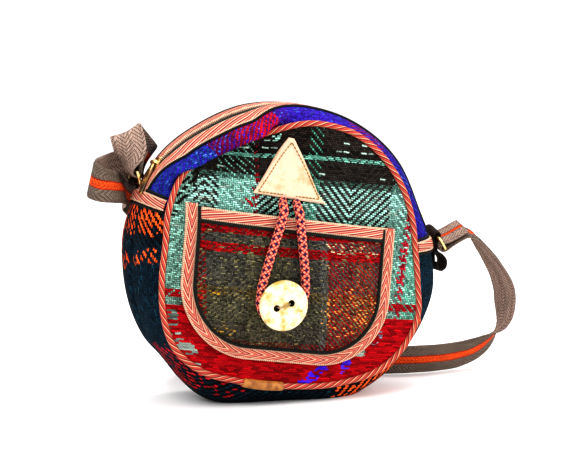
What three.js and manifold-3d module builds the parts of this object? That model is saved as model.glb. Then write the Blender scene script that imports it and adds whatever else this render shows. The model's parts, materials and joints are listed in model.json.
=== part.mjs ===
// Round kilim crossbody bag: hollow wool body, zipped crown, front pocket, loop and button, long strap.
// Millimetres. X runs to the bag's right as seen from the front, Y to the back, Z up; the floor is z = 0.
import * as THREE from "three";
import Module from "manifold-3d";

const wasm = await Module();
wasm.setup();

// Driving sizes
const SEAM_R = 96; // nominal radius of the round front and back panels at their seams
const BODY_DEPTH = 76; // front seam to back seam
const CENTRE_Z = SEAM_R * 1.125; // height of the panels' centre above the floor
const CARRY = SEAM_R / 96; // the carrying parts' tables are drawn for a seam radius of 96 and keep to the body
const LEAN_DEG = -8.5; // the bag has rolled clockwise on its round bottom
const CLOTH = 2; // lined wool wall
const GAP = 0.3; // clearance between neighbouring pieces
const PIPING_R = 2.2;
const FRONT_DOME = 7; // how far the stuffed front panel stands out of its seam plane
const BACK_DOME = 6;
const GUSSET_BULGE = 16; // nominal swelling of the gusset between its seams
const DENT_SINK = 8.4; // the upper left seam is pushed back by this much
const DENT_PINCH = 5; // and drawn in by this much
const DENT_START = [78, 106]; // degrees over which the dent sets in
const DENT_END = [134, 164]; // and fades
const DENT_CREASE = 5; // extra hollow in the panel beside the dent
const LEFT_JOIN_DEG = 157; // where the zipped crown meets the lower gusset
const RIGHT_JOIN_DEG = 1;
const BRAID_W = 8.6; // flat braid on the pocket and across the gusset
const BRAID_T = 1.6;
const ZIP_SHARE = 0.03; // half of the chain's share of the gusset's depth
const ZIP_BRAID_SHARE = 0.105;
const ZIP_RAISE = 0.7; // zip braids stand this much proud of the wool
const CHAIN_SINK = 0.6;

const POCKET_LEFT = -82; // pocket outline in the bag's own leaning frame, braid included
const POCKET_RIGHT = 76.4;
const POCKET_TOP = 28.4;
const POCKET_BOTTOM = -75.6;
const POCKET_CORNER = 52;
const POCKET_SKEW = 0.06; // the pocket sags to the right lower down
const POCKET_SKEW_V = -25; // height at which the skew is nil
const POCKET_LIFT = 6; // fullness of the pocket beyond its sewn edge
const POCKET_EARS = [1.6, 0]; // the edge braid runs on above the mouth braid, left and right

const BUTTON_R = 18;
const BUTTON_T = 3.6;
const BUTTON_HOLE_R = 2.4;
const BUTTON_HOLE_GAP = 11.4; // hole centre to hole centre
const BUTTON_OFF = 20; // top face of the button above the panel
const LOOP_R = 3.3; // loop cord
const PATCH_T = 1.4;

const RING_WIRE_R = 1.2;
const RING_L = 28.6; // bar length, wire centre to wire centre
const RING_CORNER = 1.6;
const TAB_T = 1.5;
const TAB_W = 17;
const STRAP_W = 24;
const STRAP_T = 2.2;

const SLIDER_DEG = 144;
const PULL_TIP_DEG = 156.3;
const PULL_W = 4.2;
const PULL_T = 1.2;
const PIN_R = 0.6;
const PIVOT_LIFT = 4.7; // the pull's pin above the gusset, and the pull's tip
const TIP_LIFT = 4;
const MOUTH_PROUD = 0.4; // the mouth braid stands this much proud of the pocket
const KNUCKLE_R = 1.4;

// Outline round the bag: angle seen from the front (0 is the right, 90 the top), the two seams as
// shares of SEAM_R, the swelling between them as a share of GUSSET_BULGE.
const OUTLINE = [
  { deg: 0, front: 0.99, back: 1.0, bulge: 1.5 },
  { deg: 15, front: 0.992, back: 1.0, bulge: 1.02 },
  { deg: 35, front: 1.01, back: 1.01, bulge: 0.88 },
  { deg: 60, front: 1.027, back: 1.01, bulge: 0.62 },
  { deg: 80, front: 1.003, back: 1.01, bulge: 0.6 },
  { deg: 100, front: 0.985, back: 1.02, bulge: 0.72 },
  { deg: 120, front: 1.005, back: 1.02, bulge: 0.7 },
  { deg: 140, front: 1.085, back: 1.03, bulge: 0.68 },
  { deg: 157, front: 1.04, back: 1.052, bulge: 0.66 },
  { deg: 172, front: 0.996, back: 1.078, bulge: 0.62 },
  { deg: 188, front: 1.026, back: 1.083, bulge: 0.6 },
  { deg: 200, front: 1.073, back: 1.099, bulge: 0.55 },
  { deg: 212, front: 1.115, back: 1.12, bulge: 0.4 },
  { deg: 221, front: 1.11, back: 1.115, bulge: 0.38 },
  { deg: 232, front: 1.071, back: 1.083, bulge: 0.8 },
  { deg: 244, front: 1.009, back: 1.02, bulge: 1.32 },
  { deg: 268, front: 0.977, back: 0.979, bulge: 1.08 },
  { deg: 291, front: 1.051, back: 1.042, bulge: 1.36 },
  { deg: 307, front: 1.135, back: 1.115, bulge: 1.06 },
  { deg: 320, front: 1.161, back: 1.135, bulge: 0.85 },
  { deg: 333, front: 1.135, back: 1.115, bulge: 1.1 },
  { deg: 346, front: 1.042, back: 1.052, bulge: 1.6 },
];

// How the crown's cloth rolls forward over the dent: share of the gusset's depth, then the shift
// outward and forward, in mm at the middle of the dent.
const ROLL_OVER = [
  { depth: 0, out: 0, forward: 0 },
  { depth: 0.03, out: 2.5, forward: 5 },
  { depth: 0.06, out: -2.6, forward: 10.1 },
  { depth: 0.09, out: -6.6, forward: 13.5 },
  { depth: 0.12, out: -9.1, forward: 17.8 },
  { depth: 0.155, out: -8.5, forward: 22.3 },
  { depth: 0.19, out: -6.7, forward: 23.5 },
  { depth: 0.24, out: -5.5, forward: 22 },
  { depth: 0.3, out: -5.7, forward: 19.7 },
  { depth: 0.365, out: -5.6, forward: 16.6 },
  { depth: 0.47, out: -1.3, forward: 11.3 },
  { depth: 0.53, out: -0.1, forward: 9.6 },
  { depth: 0.635, out: 0.9, forward: 6.6 },
  { depth: 0.8, out: 0.5, forward: 3.9 },
  { depth: 1, out: 0, forward: 0 },
];

// The strap's middle line from the sewn end at the left ring to the sewn end at the right ring,
// with the direction of its width.
const STRAP = [
  { x: -102.6, y: 14.2, z: 180, wx: 0.72, wy: -0.7, wz: 0 },
  { x: -102.3, y: 13, z: 176, wx: 0.42, wy: -0.91, wz: 0 },
  { x: -101.8, y: 12.5, z: 172.8, wx: 0.12, wy: -0.99, wz: 0 },
  { x: -101.2, y: 12.5, z: 168.8, wx: 0, wy: -1, wz: 0 },
  { x: -102, y: 12.5, z: 166.3, wx: 0, wy: -1, wz: 0 },
  { x: -104.2, y: 12.5, z: 165.3, wx: 0, wy: -1, wz: 0 },
  { x: -106.4, y: 12.5, z: 166.3, wx: 0, wy: -1, wz: 0 },
  { x: -107.2, y: 12.5, z: 168.8, wx: 0, wy: -1, wz: 0 },
  { x: -106.6, y: 12.5, z: 172.8, wx: 0.12, wy: -0.99, wz: 0 },
  { x: -106, y: 12.5, z: 176, wx: 0.42, wy: -0.91, wz: 0 },
  { x: -105.7, y: 12.5, z: 180, wx: 0.72, wy: -0.7, wz: 0 },
  { x: -105.4, y: 13.4, z: 184.6, wx: 0.9, wy: -0.43, wz: 0 },
  { x: -106.2, y: 14.6, z: 189.6, wx: 0.97, wy: -0.2, wz: 0.1 },
  { x: -107, y: 15.6, z: 193.6, wx: 0.94, wy: 0, wz: 0.33 },
  { x: -106.6, y: 18.4, z: 195.4, wx: 0.9, wy: 0, wz: 0.43 },
  { x: -104.9, y: 21, z: 193.8, wx: 0.85, wy: 0, wz: 0.52 },
  { x: -97.4, y: 22.4, z: 184.8, wx: 0.76, wy: 0, wz: 0.65 },
  { x: -91, y: 24.4, z: 177.6, wx: 0.73, wy: 0.1, wz: 0.67 },
  { x: -88.6, y: 29, z: 174.6, wx: 0.6, wy: 0.1, wz: 0.78 },
  { x: -91.2, y: 34, z: 173, wx: 0.3, wy: 0.1, wz: 0.92 },
  { x: -99, y: 36, z: 171.4, wx: 0.08, wy: 0.06, wz: 1 },
  { x: -112, y: 32.4, z: 169, wx: 0.1, wy: 0, wz: 1 },
  { x: -125, y: 21.6, z: 167, wx: 0.16, wy: 0, wz: 1 },
  { x: -135, y: 7.4, z: 165, wx: 0.24, wy: 0, wz: 1 },
  { x: -136.4, y: -3, z: 163, wx: 0.24, wy: 0, wz: 1 },
  { x: -132.6, y: -8.6, z: 161.4, wx: 0.14, wy: 0.1, wz: 1 },
  { x: -126, y: -6.6, z: 160.2, wx: 0.04, wy: 0.3, wz: 0.95 },
  { x: -118.2, y: 2, z: 158.4, wx: 0, wy: 0.5, wz: 0.86 },
  { x: -112, y: 13, z: 156.4, wx: 0, wy: 0.66, wz: 0.75 },
  { x: -107.4, y: 26, z: 153.4, wx: 0, wy: 0.66, wz: 0.75 },
  { x: -102, y: 40.6, z: 148.6, wx: 0.25, wy: 0.3, wz: 0.92 },
  { x: -91.6, y: 50.6, z: 140.4, wx: 0.4, wy: 0.2, wz: 0.9 },
  { x: -80, y: 57.6, z: 121, wx: 0.8, wy: -0.1, wz: 0.6 },
  { x: -67, y: 64, z: 91, wx: 0.93, wy: -0.1, wz: 0.35 },
  { x: -54, y: 74, z: 59, wx: 0.93, wy: -0.1, wz: 0.35 },
  { x: -41, y: 93, z: 32, wx: 0.7, wy: -0.2, wz: 0.7 },
  { x: -29, y: 121, z: 17, wx: 0.3, wy: -0.05, wz: 0.95 },
  { x: -13, y: 165, z: 12.9, wx: 0, wy: 0, wz: 1 },
  { x: 9, y: 210, z: 12.4, wx: 0, wy: 0, wz: 1 },
  { x: 47, y: 238, z: 12.4, wx: 0, wy: 0, wz: 1 },
  { x: 87, y: 226, z: 12.4, wx: 0, wy: 0, wz: 1 },
  { x: 101, y: 186, z: 12.4, wx: 0, wy: 0, wz: 1 },
  { x: 86, y: 142, z: 12.4, wx: 0, wy: 0, wz: 1 },
  { x: 64, y: 106, z: 12.4, wx: 0, wy: 0, wz: 1 },
  { x: 60, y: 76, z: 12.4, wx: 0, wy: 0, wz: 1 },
  { x: 79, y: 53, z: 12.4, wx: 0, wy: -0.1, wz: 1 },
  { x: 114, y: 36, z: 12.2, wx: 0, wy: -0.33, wz: 0.94 },
  { x: 145, y: 33.4, z: 12.2, wx: 0, wy: -0.36, wz: 0.93 },
  { x: 166, y: 37, z: 12.8, wx: 0, wy: -0.36, wz: 0.93 },
  { x: 181, y: 38.6, z: 16, wx: -0.1, wy: -0.48, wz: 0.87 },
  { x: 191.6, y: 36.6, z: 23.4, wx: -0.2, wy: -0.68, wz: 0.7 },
  { x: 197.8, y: 33, z: 33, wx: -0.15, wy: -0.88, wz: 0.4 },
  { x: 199.8, y: 28.4, z: 43, wx: 0.05, wy: -0.98, wz: 0.15 },
  { x: 198.8, y: 23, z: 54, wx: 0.2, wy: -0.97, wz: 0.02 },
  { x: 194.6, y: 16.6, z: 68.6, wx: 0.28, wy: -0.96, wz: 0 },
  { x: 186, y: 11, z: 82.4, wx: 0.2, wy: -0.97, wz: 0 },
  { x: 173.6, y: 5.6, z: 97.6, wx: 0.1, wy: -0.98, wz: -0.05 },
  { x: 162.8, y: 1.6, z: 109.4, wx: 0, wy: -0.97, wz: -0.2 },
  { x: 156, y: -1.2, z: 114.2, wx: 0, wy: -0.968, wz: -0.252 },
  { x: 149.6, y: -1.9, z: 115.4, wx: 0, wy: -0.968, wz: -0.252 },
  { x: 144.6, y: -1.4, z: 113.5, wx: 0, wy: -0.968, wz: -0.252 },
  { x: 138.3, y: -0.5, z: 109.9, wx: 0, wy: -0.968, wz: -0.252 },
  { x: 131.8, y: 0.6, z: 105.5, wx: 0, wy: -0.968, wz: -0.252 },
  { x: 129.2, y: 0.6, z: 105.6, wx: 0, wy: -0.968, wz: -0.252 },
  { x: 127.9, y: 0, z: 107.9, wx: 0, wy: -0.968, wz: -0.252 },
  { x: 129.1, y: -0.6, z: 110.4, wx: 0, wy: -0.968, wz: -0.252 },
  { x: 136.6, y: -1.3, z: 113.1, wx: 0, wy: -0.968, wz: -0.252 },
  { x: 143.3, y: -2.2, z: 116.6, wx: 0, wy: -0.968, wz: -0.252 },
  { x: 149.4, y: -3.1, z: 119.8, wx: 0, wy: -0.968, wz: -0.252 },
];
const STRAP_STEP = 16; // longest straight run of the strap between sections

// Loop cord in the bag's own frame: across, up, and height above the front panel.
const LOOP = [
  { u: -17.6, v: 40.8, off: 4 },
  { u: -18, v: 37.4, off: 6.4 },
  { u: -18.6, v: 32.6, off: 12.2 },
  { u: -20, v: 24, off: 13.6 },
  { u: -23, v: 8, off: 13.2 },
  { u: -26.2, v: -12, off: 12.8 },
  { u: -27.4, v: -25, off: 12.7 },
  { u: -25.4, v: -37, off: 12.6 },
  { u: -11.6, v: -47, off: 12.6 },
  { u: 2.2, v: -37, off: 12.6 },
  { u: 5, v: -24, off: 12.7 },
  { u: 3.2, v: -10, off: 12.8 },
  { u: -1.6, v: 9, off: 13.2 },
  { u: -5.4, v: 24, off: 13.6 },
  { u: -7, v: 32.6, off: 12.2 },
  { u: -7.4, v: 37.2, off: 6.4 },
  { u: -7.6, v: 40.5, off: 4 },
];

// Right ring tab: middle line of the webbing in the X-Z plane.
const RIGHT_TAB = [
  { x: 124.2, z: 94.5 },
  { x: 123.9, z: 100 },
  { x: 124.1, z: 106 },
  { x: 123.7, z: 111 },
  { x: 122.7, z: 115 },
  { x: 123, z: 117.6 },
  { x: 125, z: 118.9 },
  { x: 127.2, z: 118.1 },
  { x: 127.9, z: 116 },
  { x: 127, z: 113.6 },
  { x: 125.8, z: 111 },
  { x: 125.6, z: 107 },
  { x: 126.6, z: 102.4 },
  { x: 131.2, z: 99 },
  { x: 134, z: 94.8 },
  { x: 133.2, z: 89.6 },
  { x: 129.6, z: 87.6 },
  { x: 127, z: 90.4 },
  { x: 126.4, z: 94 },
];
// Left ring tab: distance along the gusset from the ring's bar, height above the gusset.
const LEFT_TAB = [
  { along: 2.4, lift: 1.9 },
  { along: 0.2, lift: 1.9 },
  { along: -1.7, lift: 2.6 },
  { along: -2.4, lift: 4.2 },
  { along: -1.7, lift: 5.9 },
  { along: 0, lift: 6.6 },
  { along: 1.9, lift: 6.2 },
  { along: 2.8, lift: 5.2 },
];
const LEFT_RING = { deg: 152.9, y: 12.5, lift: 4.2 };
const RIGHT_RING = { x: 130.6, z: 108, upX: 125.2, upZ: 116.2 };
const UPPER_BAR = { x: -104.2, z: 168.4 }; // left ring's upper bar, inside the strap's turn
const RIGHT_BAR_DIP = 0.26; // the right ring's near end hangs lower

const rad = THREE.MathUtils.degToRad;
const clamp = THREE.MathUtils.clamp;
const lerp = THREE.MathUtils.lerp;
const V = (x, y, z) => new THREE.Vector3(x, y, z);

/** Smooth curve through table rows: value of column `col` where column `key` equals t. */
function column(rows, key, col, t, period) {
  const n = rows.length;
  const at = (i) => {
    if (period) {
      const turn = Math.floor(i / n);
      const row = rows[i - turn * n];
      return [row[key] + turn * period, row[col]];
    }
    const row = rows[clamp(i, 0, n - 1)];
    return [row[key], row[col]];
  };
  let x = t;
  if (period) x = t - Math.floor((t - rows[0][key]) / period) * period;
  let i = 0;
  while (i < (period ? n - 1 : n - 2) && at(i + 1)[0] <= x) i += 1;
  const [x0, y0] = at(i);
  const [x1, y1] = at(i + 1);
  const [xa, ya] = at(i - 1);
  const [xb, yb] = at(i + 2);
  const h = x1 - x0;
  const s = clamp((x - x0) / h, 0, 1);
  const m0 = x1 === xa ? 0 : ((y1 - ya) / (x1 - xa)) * h;
  const m1 = xb === x0 ? 0 : ((yb - y0) / (xb - x0)) * h;
  const s2 = s * s;
  const s3 = s2 * s;
  return (2 * s3 - 3 * s2 + 1) * y0 + (s3 - 2 * s2 + s) * m0 + (3 * s2 - 2 * s3) * y1 + (s3 - s2) * m1;
}

const outline = (deg, col) => column(OUTLINE, "deg", col, deg, 360);

/** Weight of the upper left dent at an angle, 0 to 1. */
function dent(deg) {
  const a = ((deg % 360) + 360) % 360;
  return THREE.MathUtils.smoothstep(a, ...DENT_START) * (1 - THREE.MathUtils.smoothstep(a, ...DENT_END));
}

/** Radius and depth of the front seam. */
function frontSeam(deg) {
  const w = dent(deg);
  return { r: SEAM_R * outline(deg, "front") - DENT_PINCH * w, y: -BODY_DEPTH / 2 + DENT_SINK * w };
}

/** Radius and depth of the back seam. */
function backSeam(deg) {
  return { r: SEAM_R * outline(deg, "back"), y: BODY_DEPTH / 2 };
}

const polar = (deg, r, y) => V(r * Math.cos(rad(deg)), y, CENTRE_Z + r * Math.sin(rad(deg)));

/** Outer face of the gusset at an angle and a share t of its depth, front to back. */
function gussetFace(deg, t) {
  const f = frontSeam(deg);
  const b = backSeam(deg);
  const w = dent(deg);
  const edge = PIPING_R + 3 * GAP;
  const swell = GUSSET_BULGE * outline(deg, "bulge") * (1 - Math.abs(2 * t - 1) ** 2.6);
  let r = lerp(f.r + 0.6, b.r + 0.6, t) + swell;
  let y = lerp(f.y + edge, b.y - edge, t);
  r += w ** 4 * column(ROLL_OVER, "depth", "out", t);
  y -= w * column(ROLL_OVER, "depth", "forward", t);
  const p = polar(deg, r, y);
  p.z = Math.max(p.z, 0);
  return p;
}

/** Point `lift` above the gusset's outer face, along its normal. */
function onGusset(deg, t, lift) {
  const dt = 0.004;
  const a = gussetFace(deg + 0.4, t).sub(gussetFace(deg - 0.4, t));
  const b = gussetFace(deg, Math.min(t + dt, 1)).sub(gussetFace(deg, Math.max(t - dt, 0)));
  const p = gussetFace(deg, t).addScaledVector(b.cross(a).normalize(), lift);
  p.z = Math.max(p.z, lift < 0 ? Math.min(-lift, CLOTH) : 0);
  return p;
}

/** Depth of the front panel's outer face at a place given as x and z. */
function frontDepth(x, z) {
  const dx = x;
  const dz = z - CENTRE_Z;
  const deg = (THREE.MathUtils.radToDeg(Math.atan2(dz, dx)) + 360) % 360;
  const s = frontSeam(deg);
  const rho = Math.min(Math.hypot(dx, dz) / (s.r - PIPING_R - GAP), 1);
  return frontFace(deg, rho);
}

/** Depth of the front panel's outer face at an angle and a share of the radius. */
function frontFace(deg, rho) {
  const w = dent(deg);
  const k = THREE.MathUtils.smoothstep(rho, 0.55, 1);
  const crease = DENT_CREASE * Math.exp(-(((rho - 0.9) / 0.08) ** 2)) * w * w;
  return -BODY_DEPTH / 2 - FRONT_DOME * (1 - rho ** 2.2) + DENT_SINK * w * k + crease;
}

/** A place on the front given in the bag's own leaning frame, `off` in front of the panel. */
function onFront(u, v, off) {
  const a = rad(LEAN_DEG);
  const x = u * Math.cos(a) - v * Math.sin(a);
  const z = CENTRE_Z + u * Math.sin(a) + v * Math.cos(a);
  return V(x, frontDepth(x, z) - off, z);
}

/** Geometry from points and faces, turned so that its faces look outward. */
function solid(points, faces) {
  let volume = 0;
  for (const [a, b, c] of faces) {
    volume += points[a].dot(points[b].clone().cross(points[c]));
  }
  const index = volume < 0 ? faces.map(([a, b, c]) => [a, c, b]) : faces;
  const g = new THREE.BufferGeometry();
  g.setAttribute("position", new THREE.Float32BufferAttribute(points.flatMap((p) => [p.x, p.y, p.z]), 3));
  g.setIndex(index.flat());
  return g.toNonIndexed();
}

/** Closed body between two grids of points; with `ring` the rows close on themselves. */
function slab(rows, cols, outer, inner, ring = false) {
  const points = [];
  const faces = [];
  for (const face of [outer, inner]) {
    for (let i = 0; i < rows; i += 1) {
      for (let j = 0; j < cols; j += 1) points.push(face(i, j));
    }
  }
  const id = (side, i, j) => side * rows * cols + (i % rows) * cols + j;
  const quad = (a, b, c, d) => faces.push([a, b, c], [a, c, d]);
  const last = ring ? rows : rows - 1;
  for (let i = 0; i < last; i += 1) {
    for (let j = 0; j < cols - 1; j += 1) {
      quad(id(0, i, j), id(0, i, j + 1), id(0, i + 1, j + 1), id(0, i + 1, j));
      quad(id(1, i, j), id(1, i + 1, j), id(1, i + 1, j + 1), id(1, i, j + 1));
    }
    quad(id(0, i, 0), id(0, i + 1, 0), id(1, i + 1, 0), id(1, i, 0));
    quad(id(0, i, cols - 1), id(1, i, cols - 1), id(1, i + 1, cols - 1), id(0, i + 1, cols - 1));
  }
  if (!ring) {
    for (let j = 0; j < cols - 1; j += 1) {
      quad(id(0, 0, j), id(1, 0, j), id(1, 0, j + 1), id(0, 0, j + 1));
      const e = rows - 1;
      quad(id(0, e, j), id(0, e, j + 1), id(1, e, j + 1), id(1, e, j));
    }
  }
  return solid(points, faces);
}

/** Body swept through sections of points; open ends are capped. */
function sweep(sections, ring = false) {
  const n = sections[0].length;
  const points = sections.flat();
  const faces = [];
  const m = sections.length;
  for (let i = 0; i < (ring ? m : m - 1); i += 1) {
    const k = (i + 1) % m;
    for (let j = 0; j < n; j += 1) {
      const l = (j + 1) % n;
      faces.push([i * n + j, i * n + l, k * n + l], [i * n + j, k * n + l, k * n + j]);
    }
  }
  if (!ring) {
    for (let j = 1; j < n - 1; j += 1) {
      faces.push([0, j + 1, j], [(m - 1) * n, (m - 1) * n + j, (m - 1) * n + j + 1]);
    }
  }
  return solid(points, faces);
}

/** Band lying on the gusset between two angles and two depths, from one lift to another. */
function gussetBand(deg0, deg1, steps, depths, low, high) {
  const at = (i) => lerp(deg0, deg1, i / steps);
  return slab(
    steps + 1,
    depths.length,
    (i, j) => onGusset(at(i), depths[j], high),
    (i, j) => onGusset(at(i), depths[j], low),
  );
}

/** Round panel: shell between an outer face and the same face moved by CLOTH. */
function panel(steps, rings, face, inward) {
  const points = [];
  const faces = [];
  const sides = [0, CLOTH * inward];
  for (const shift of sides) {
    points.push(face(0, 0).add(V(0, shift, 0)));
    for (let j = 1; j <= rings; j += 1) {
      const rho = Math.sin((Math.PI / 2) * (j / rings));
      for (let i = 0; i < steps; i += 1) points.push(face((360 * i) / steps, rho).add(V(0, shift, 0)));
    }
  }
  const count = 1 + rings * steps;
  const id = (side, j, i) => side * count + (j === 0 ? 0 : 1 + (j - 1) * steps + (i % steps));
  for (let side = 0; side < 2; side += 1) {
    const push = (a, b, c) => faces.push(side ? [a, b, c] : [a, c, b]);
    for (let i = 0; i < steps; i += 1) {
      push(id(side, 0, 0), id(side, 1, i), id(side, 1, i + 1));
      for (let j = 1; j < rings; j += 1) {
        push(id(side, j, i), id(side, j + 1, i), id(side, j + 1, i + 1));
        push(id(side, j, i), id(side, j + 1, i + 1), id(side, j, i + 1));
      }
    }
  }
  for (let i = 0; i < steps; i += 1) {
    const [a, b] = [id(0, rings, i), id(0, rings, i + 1)];
    const [c, d] = [id(1, rings, i + 1), id(1, rings, i)];
    faces.push([a, b, c], [a, c, d]);
  }
  return solid(points, faces);
}

/** Piping: a round cord all along a seam. */
function piping(seam, steps) {
  const sections = [];
  for (let i = 0; i < steps; i += 1) {
    const deg = (360 * i) / steps;
    const s = seam(deg);
    const ring = [];
    for (let k = 0; k < 8; k += 1) {
      const a = (Math.PI * k) / 4;
      ring.push(polar(deg, s.r + PIPING_R * Math.cos(a), s.y + PIPING_R * Math.sin(a)));
    }
    sections.push(ring);
  }
  return sweep(sections, true);
}

/** Flat band swept along points with a width direction at each. */
function band(rows, width, thick) {
  const sections = rows.map(({ p, w }, i) => {
    const a = rows[Math.max(i - 1, 0)].p;
    const b = rows[Math.min(i + 1, rows.length - 1)].p;
    const t = b.clone().sub(a).normalize();
    const across = w.clone().addScaledVector(t, -w.dot(t)).normalize();
    const n = t.clone().cross(across);
    const corner = (s, h) =>
      p.clone().addScaledVector(across, (s * width) / 2).addScaledVector(n, (h * thick) / 2);
    return [corner(-1, -1), corner(1, -1), corner(1, 1), corner(-1, 1)];
  });
  return sweep(sections);
}

/** Points and width directions along the strap's table, no two sections further than `step` apart. */
function strapRows(drawn, step) {
  const table = drawn.map((r) => ({ ...r, x: r.x * CARRY, z: r.z * CARRY }));
  const curve = new THREE.CatmullRomCurve3(table.map((r) => V(r.x, r.y, r.z)), false, "centripetal");
  const spans = table.length - 1;
  const rows = [];
  for (let i = 0; i < spans; i += 1) {
    const long = Math.hypot(table[i + 1].x - table[i].x, table[i + 1].y - table[i].y, table[i + 1].z - table[i].z);
    const parts = Math.max(1, Math.ceil(long / step));
    for (let k = 0; k < parts; k += 1) {
      const s = k / parts;
      const w = V(
        lerp(table[i].wx, table[i + 1].wx, s),
        lerp(table[i].wy, table[i + 1].wy, s),
        lerp(table[i].wz, table[i + 1].wz, s),
      );
      rows.push({ p: curve.getPoint((i + s) / spans), w: w.normalize() });
    }
  }
  const end = table[spans];
  rows.push({ p: V(end.x, end.y, end.z), w: V(end.wx, end.wy, end.wz).normalize() });
  return rows;
}

/** Rounded rectangle of wire round a centre, along two directions. */
function wireRing(centre, along, up, length, height) {
  const corner = RING_CORNER;
  const path = [];
  const arcs = [
    [1, 1, 0],
    [-1, 1, 90],
    [-1, -1, 180],
    [1, -1, 270],
  ];
  for (const [sx, sy, start] of arcs) {
    for (const a of [0, 30, 60, 90]) {
      const c = rad(start + a);
      path.push([
        sx * (length / 2 - corner) + corner * Math.cos(c),
        sy * (height / 2 - corner) + corner * Math.sin(c),
      ]);
    }
  }
  const n = along.clone().cross(up).normalize();
  const place = ([a, b]) => centre.clone().addScaledVector(along, a).addScaledVector(up, b);
  const sections = path.map((q, i) => {
    const prev = place(path[(i + path.length - 1) % path.length]);
    const next = place(path[(i + 1) % path.length]);
    const t = next.sub(prev).normalize();
    const side = t.clone().cross(n);
    const ring = [];
    for (let k = 0; k < 6; k += 1) {
      const a = (Math.PI * k) / 3;
      ring.push(
        place(q)
          .addScaledVector(side, RING_WIRE_R * Math.cos(a))
          .addScaledVector(n, RING_WIRE_R * Math.sin(a)),
      );
    }
    return ring;
  });
  return sweep(sections, true);
}

/** Join and cut bodies given as geometries. */
function toBody(geometry) {
  const pos = geometry.getAttribute("position");
  const seen = new Map();
  const verts = [];
  const tris = [];
  for (let i = 0; i < pos.count; i += 1) {
    const key = [pos.getX(i), pos.getY(i), pos.getZ(i)].map((c) => Math.round(c * 1e4)).join(",");
    if (!seen.has(key)) {
      seen.set(key, verts.length / 3);
      verts.push(pos.getX(i), pos.getY(i), pos.getZ(i));
    }
    tris.push(seen.get(key));
  }
  return new wasm.Manifold(
    new wasm.Mesh({ numProp: 3, vertProperties: new Float32Array(verts), triVerts: new Uint32Array(tris) }),
  );
}

function toGeometry(body) {
  const m = body.getMesh();
  const g = new THREE.BufferGeometry();
  g.setAttribute("position", new THREE.BufferAttribute(new Float32Array(m.vertProperties), 3));
  g.setIndex(new THREE.BufferAttribute(new Uint32Array(m.triVerts), 1));
  return g.toNonIndexed();
}

/** Matrix with the given X, Y, Z directions and origin. */
function frameAt(origin, x, y, z) {
  return new THREE.Matrix4().makeBasis(x, y, z).setPosition(origin);
}

const placed = (geometry, matrix) => toBody((geometry.index ? geometry.toNonIndexed() : geometry).applyMatrix4(matrix));
const move = (x, y, z) => new THREE.Matrix4().makeTranslation(x, y, z);

const finish = {
  wool: (color) => new THREE.MeshStandardMaterial({ color, roughness: 0.95, metalness: 0 }),
  braid: new THREE.MeshStandardMaterial({ color: "#e8866a", roughness: 0.8, metalness: 0 }),
  webbing: new THREE.MeshStandardMaterial({ color: "#7d6a60", roughness: 0.9, metalness: 0 }),
  dark: new THREE.MeshStandardMaterial({ color: "#2a211d", roughness: 0.9, metalness: 0 }),
  leather: new THREE.MeshStandardMaterial({ color: "#ecd9ac", roughness: 0.6, metalness: 0 }),
  tan: new THREE.MeshStandardMaterial({ color: "#b98545", roughness: 0.6, metalness: 0 }),
  brass: new THREE.MeshStandardMaterial({ color: "#d8c27a", roughness: 0.3, metalness: 1 }),
  bone: new THREE.MeshStandardMaterial({ color: "#efe3c0", roughness: 0.4, metalness: 0 }),
  zip: new THREE.MeshStandardMaterial({ color: "#1c1512", roughness: 0.7, metalness: 0 }),
};

const bag = new THREE.Group();
function add(name, geometry, material) {
  const mesh = new THREE.Mesh(geometry, material);
  mesh.name = name;
  bag.add(mesh);
}

// Body: two round panels and the gusset between them
const rim = PIPING_R + GAP;
const FRONT_STEPS = 56; // sections round each panel and its piping
const BACK_STEPS = 44;
add(
  "front_panel",
  panel(FRONT_STEPS, 6, (deg, rho) => polar(deg, rho * (frontSeam(deg).r - rim), frontFace(deg, rho)), 1),
  finish.wool("#3d5a54"),
);
add(
  "back_panel",
  panel(
    BACK_STEPS,
    4,
    (deg, rho) => polar(deg, rho * (backSeam(deg).r - rim), BODY_DEPTH / 2 + BACK_DOME * (1 - rho ** 2.2)),
    -1,
  ),
  finish.wool("#24333d"),
);
add("front_piping", piping(frontSeam, FRONT_STEPS), finish.braid);
add("back_piping", piping(backSeam, BACK_STEPS), finish.braid);

const SLIT = 0.0035; // half of the clearance between pieces side by side on the gusset, as a share
const JOIN = 0.09; // the same along the gusset, degrees
const zipStart = 0.5 - ZIP_SHARE - ZIP_BRAID_SHARE;
const zipEnd = 0.5 + ZIP_SHARE + ZIP_BRAID_SHARE;
const lowerDepths = [0, 0.05, 0.13, 0.25, 0.42, 0.58, 0.75, 0.87, 0.95, 1];
add(
  "lower_gusset",
  gussetBand(LEFT_JOIN_DEG + JOIN, 360 + RIGHT_JOIN_DEG - JOIN, 30, lowerDepths, -CLOTH, 0),
  finish.wool("#18303c"),
);
const frontDepths = [0, 0.03, 0.06, 0.09, 0.12, 0.155, 0.19, 0.24, 0.3, zipStart - SLIT];
const backDepths = [zipEnd + SLIT, 0.72, 0.8, 0.88, 0.95, 1];
const crown = [RIGHT_JOIN_DEG + JOIN, LEFT_JOIN_DEG - JOIN];
add("upper_gusset_front", gussetBand(...crown, 28, frontDepths, -CLOTH, 0), finish.wool("#4a2bb0"));
add("upper_gusset_back", gussetBand(...crown, 24, backDepths, -CLOTH, 0), finish.wool("#2d2a5e"));

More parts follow.
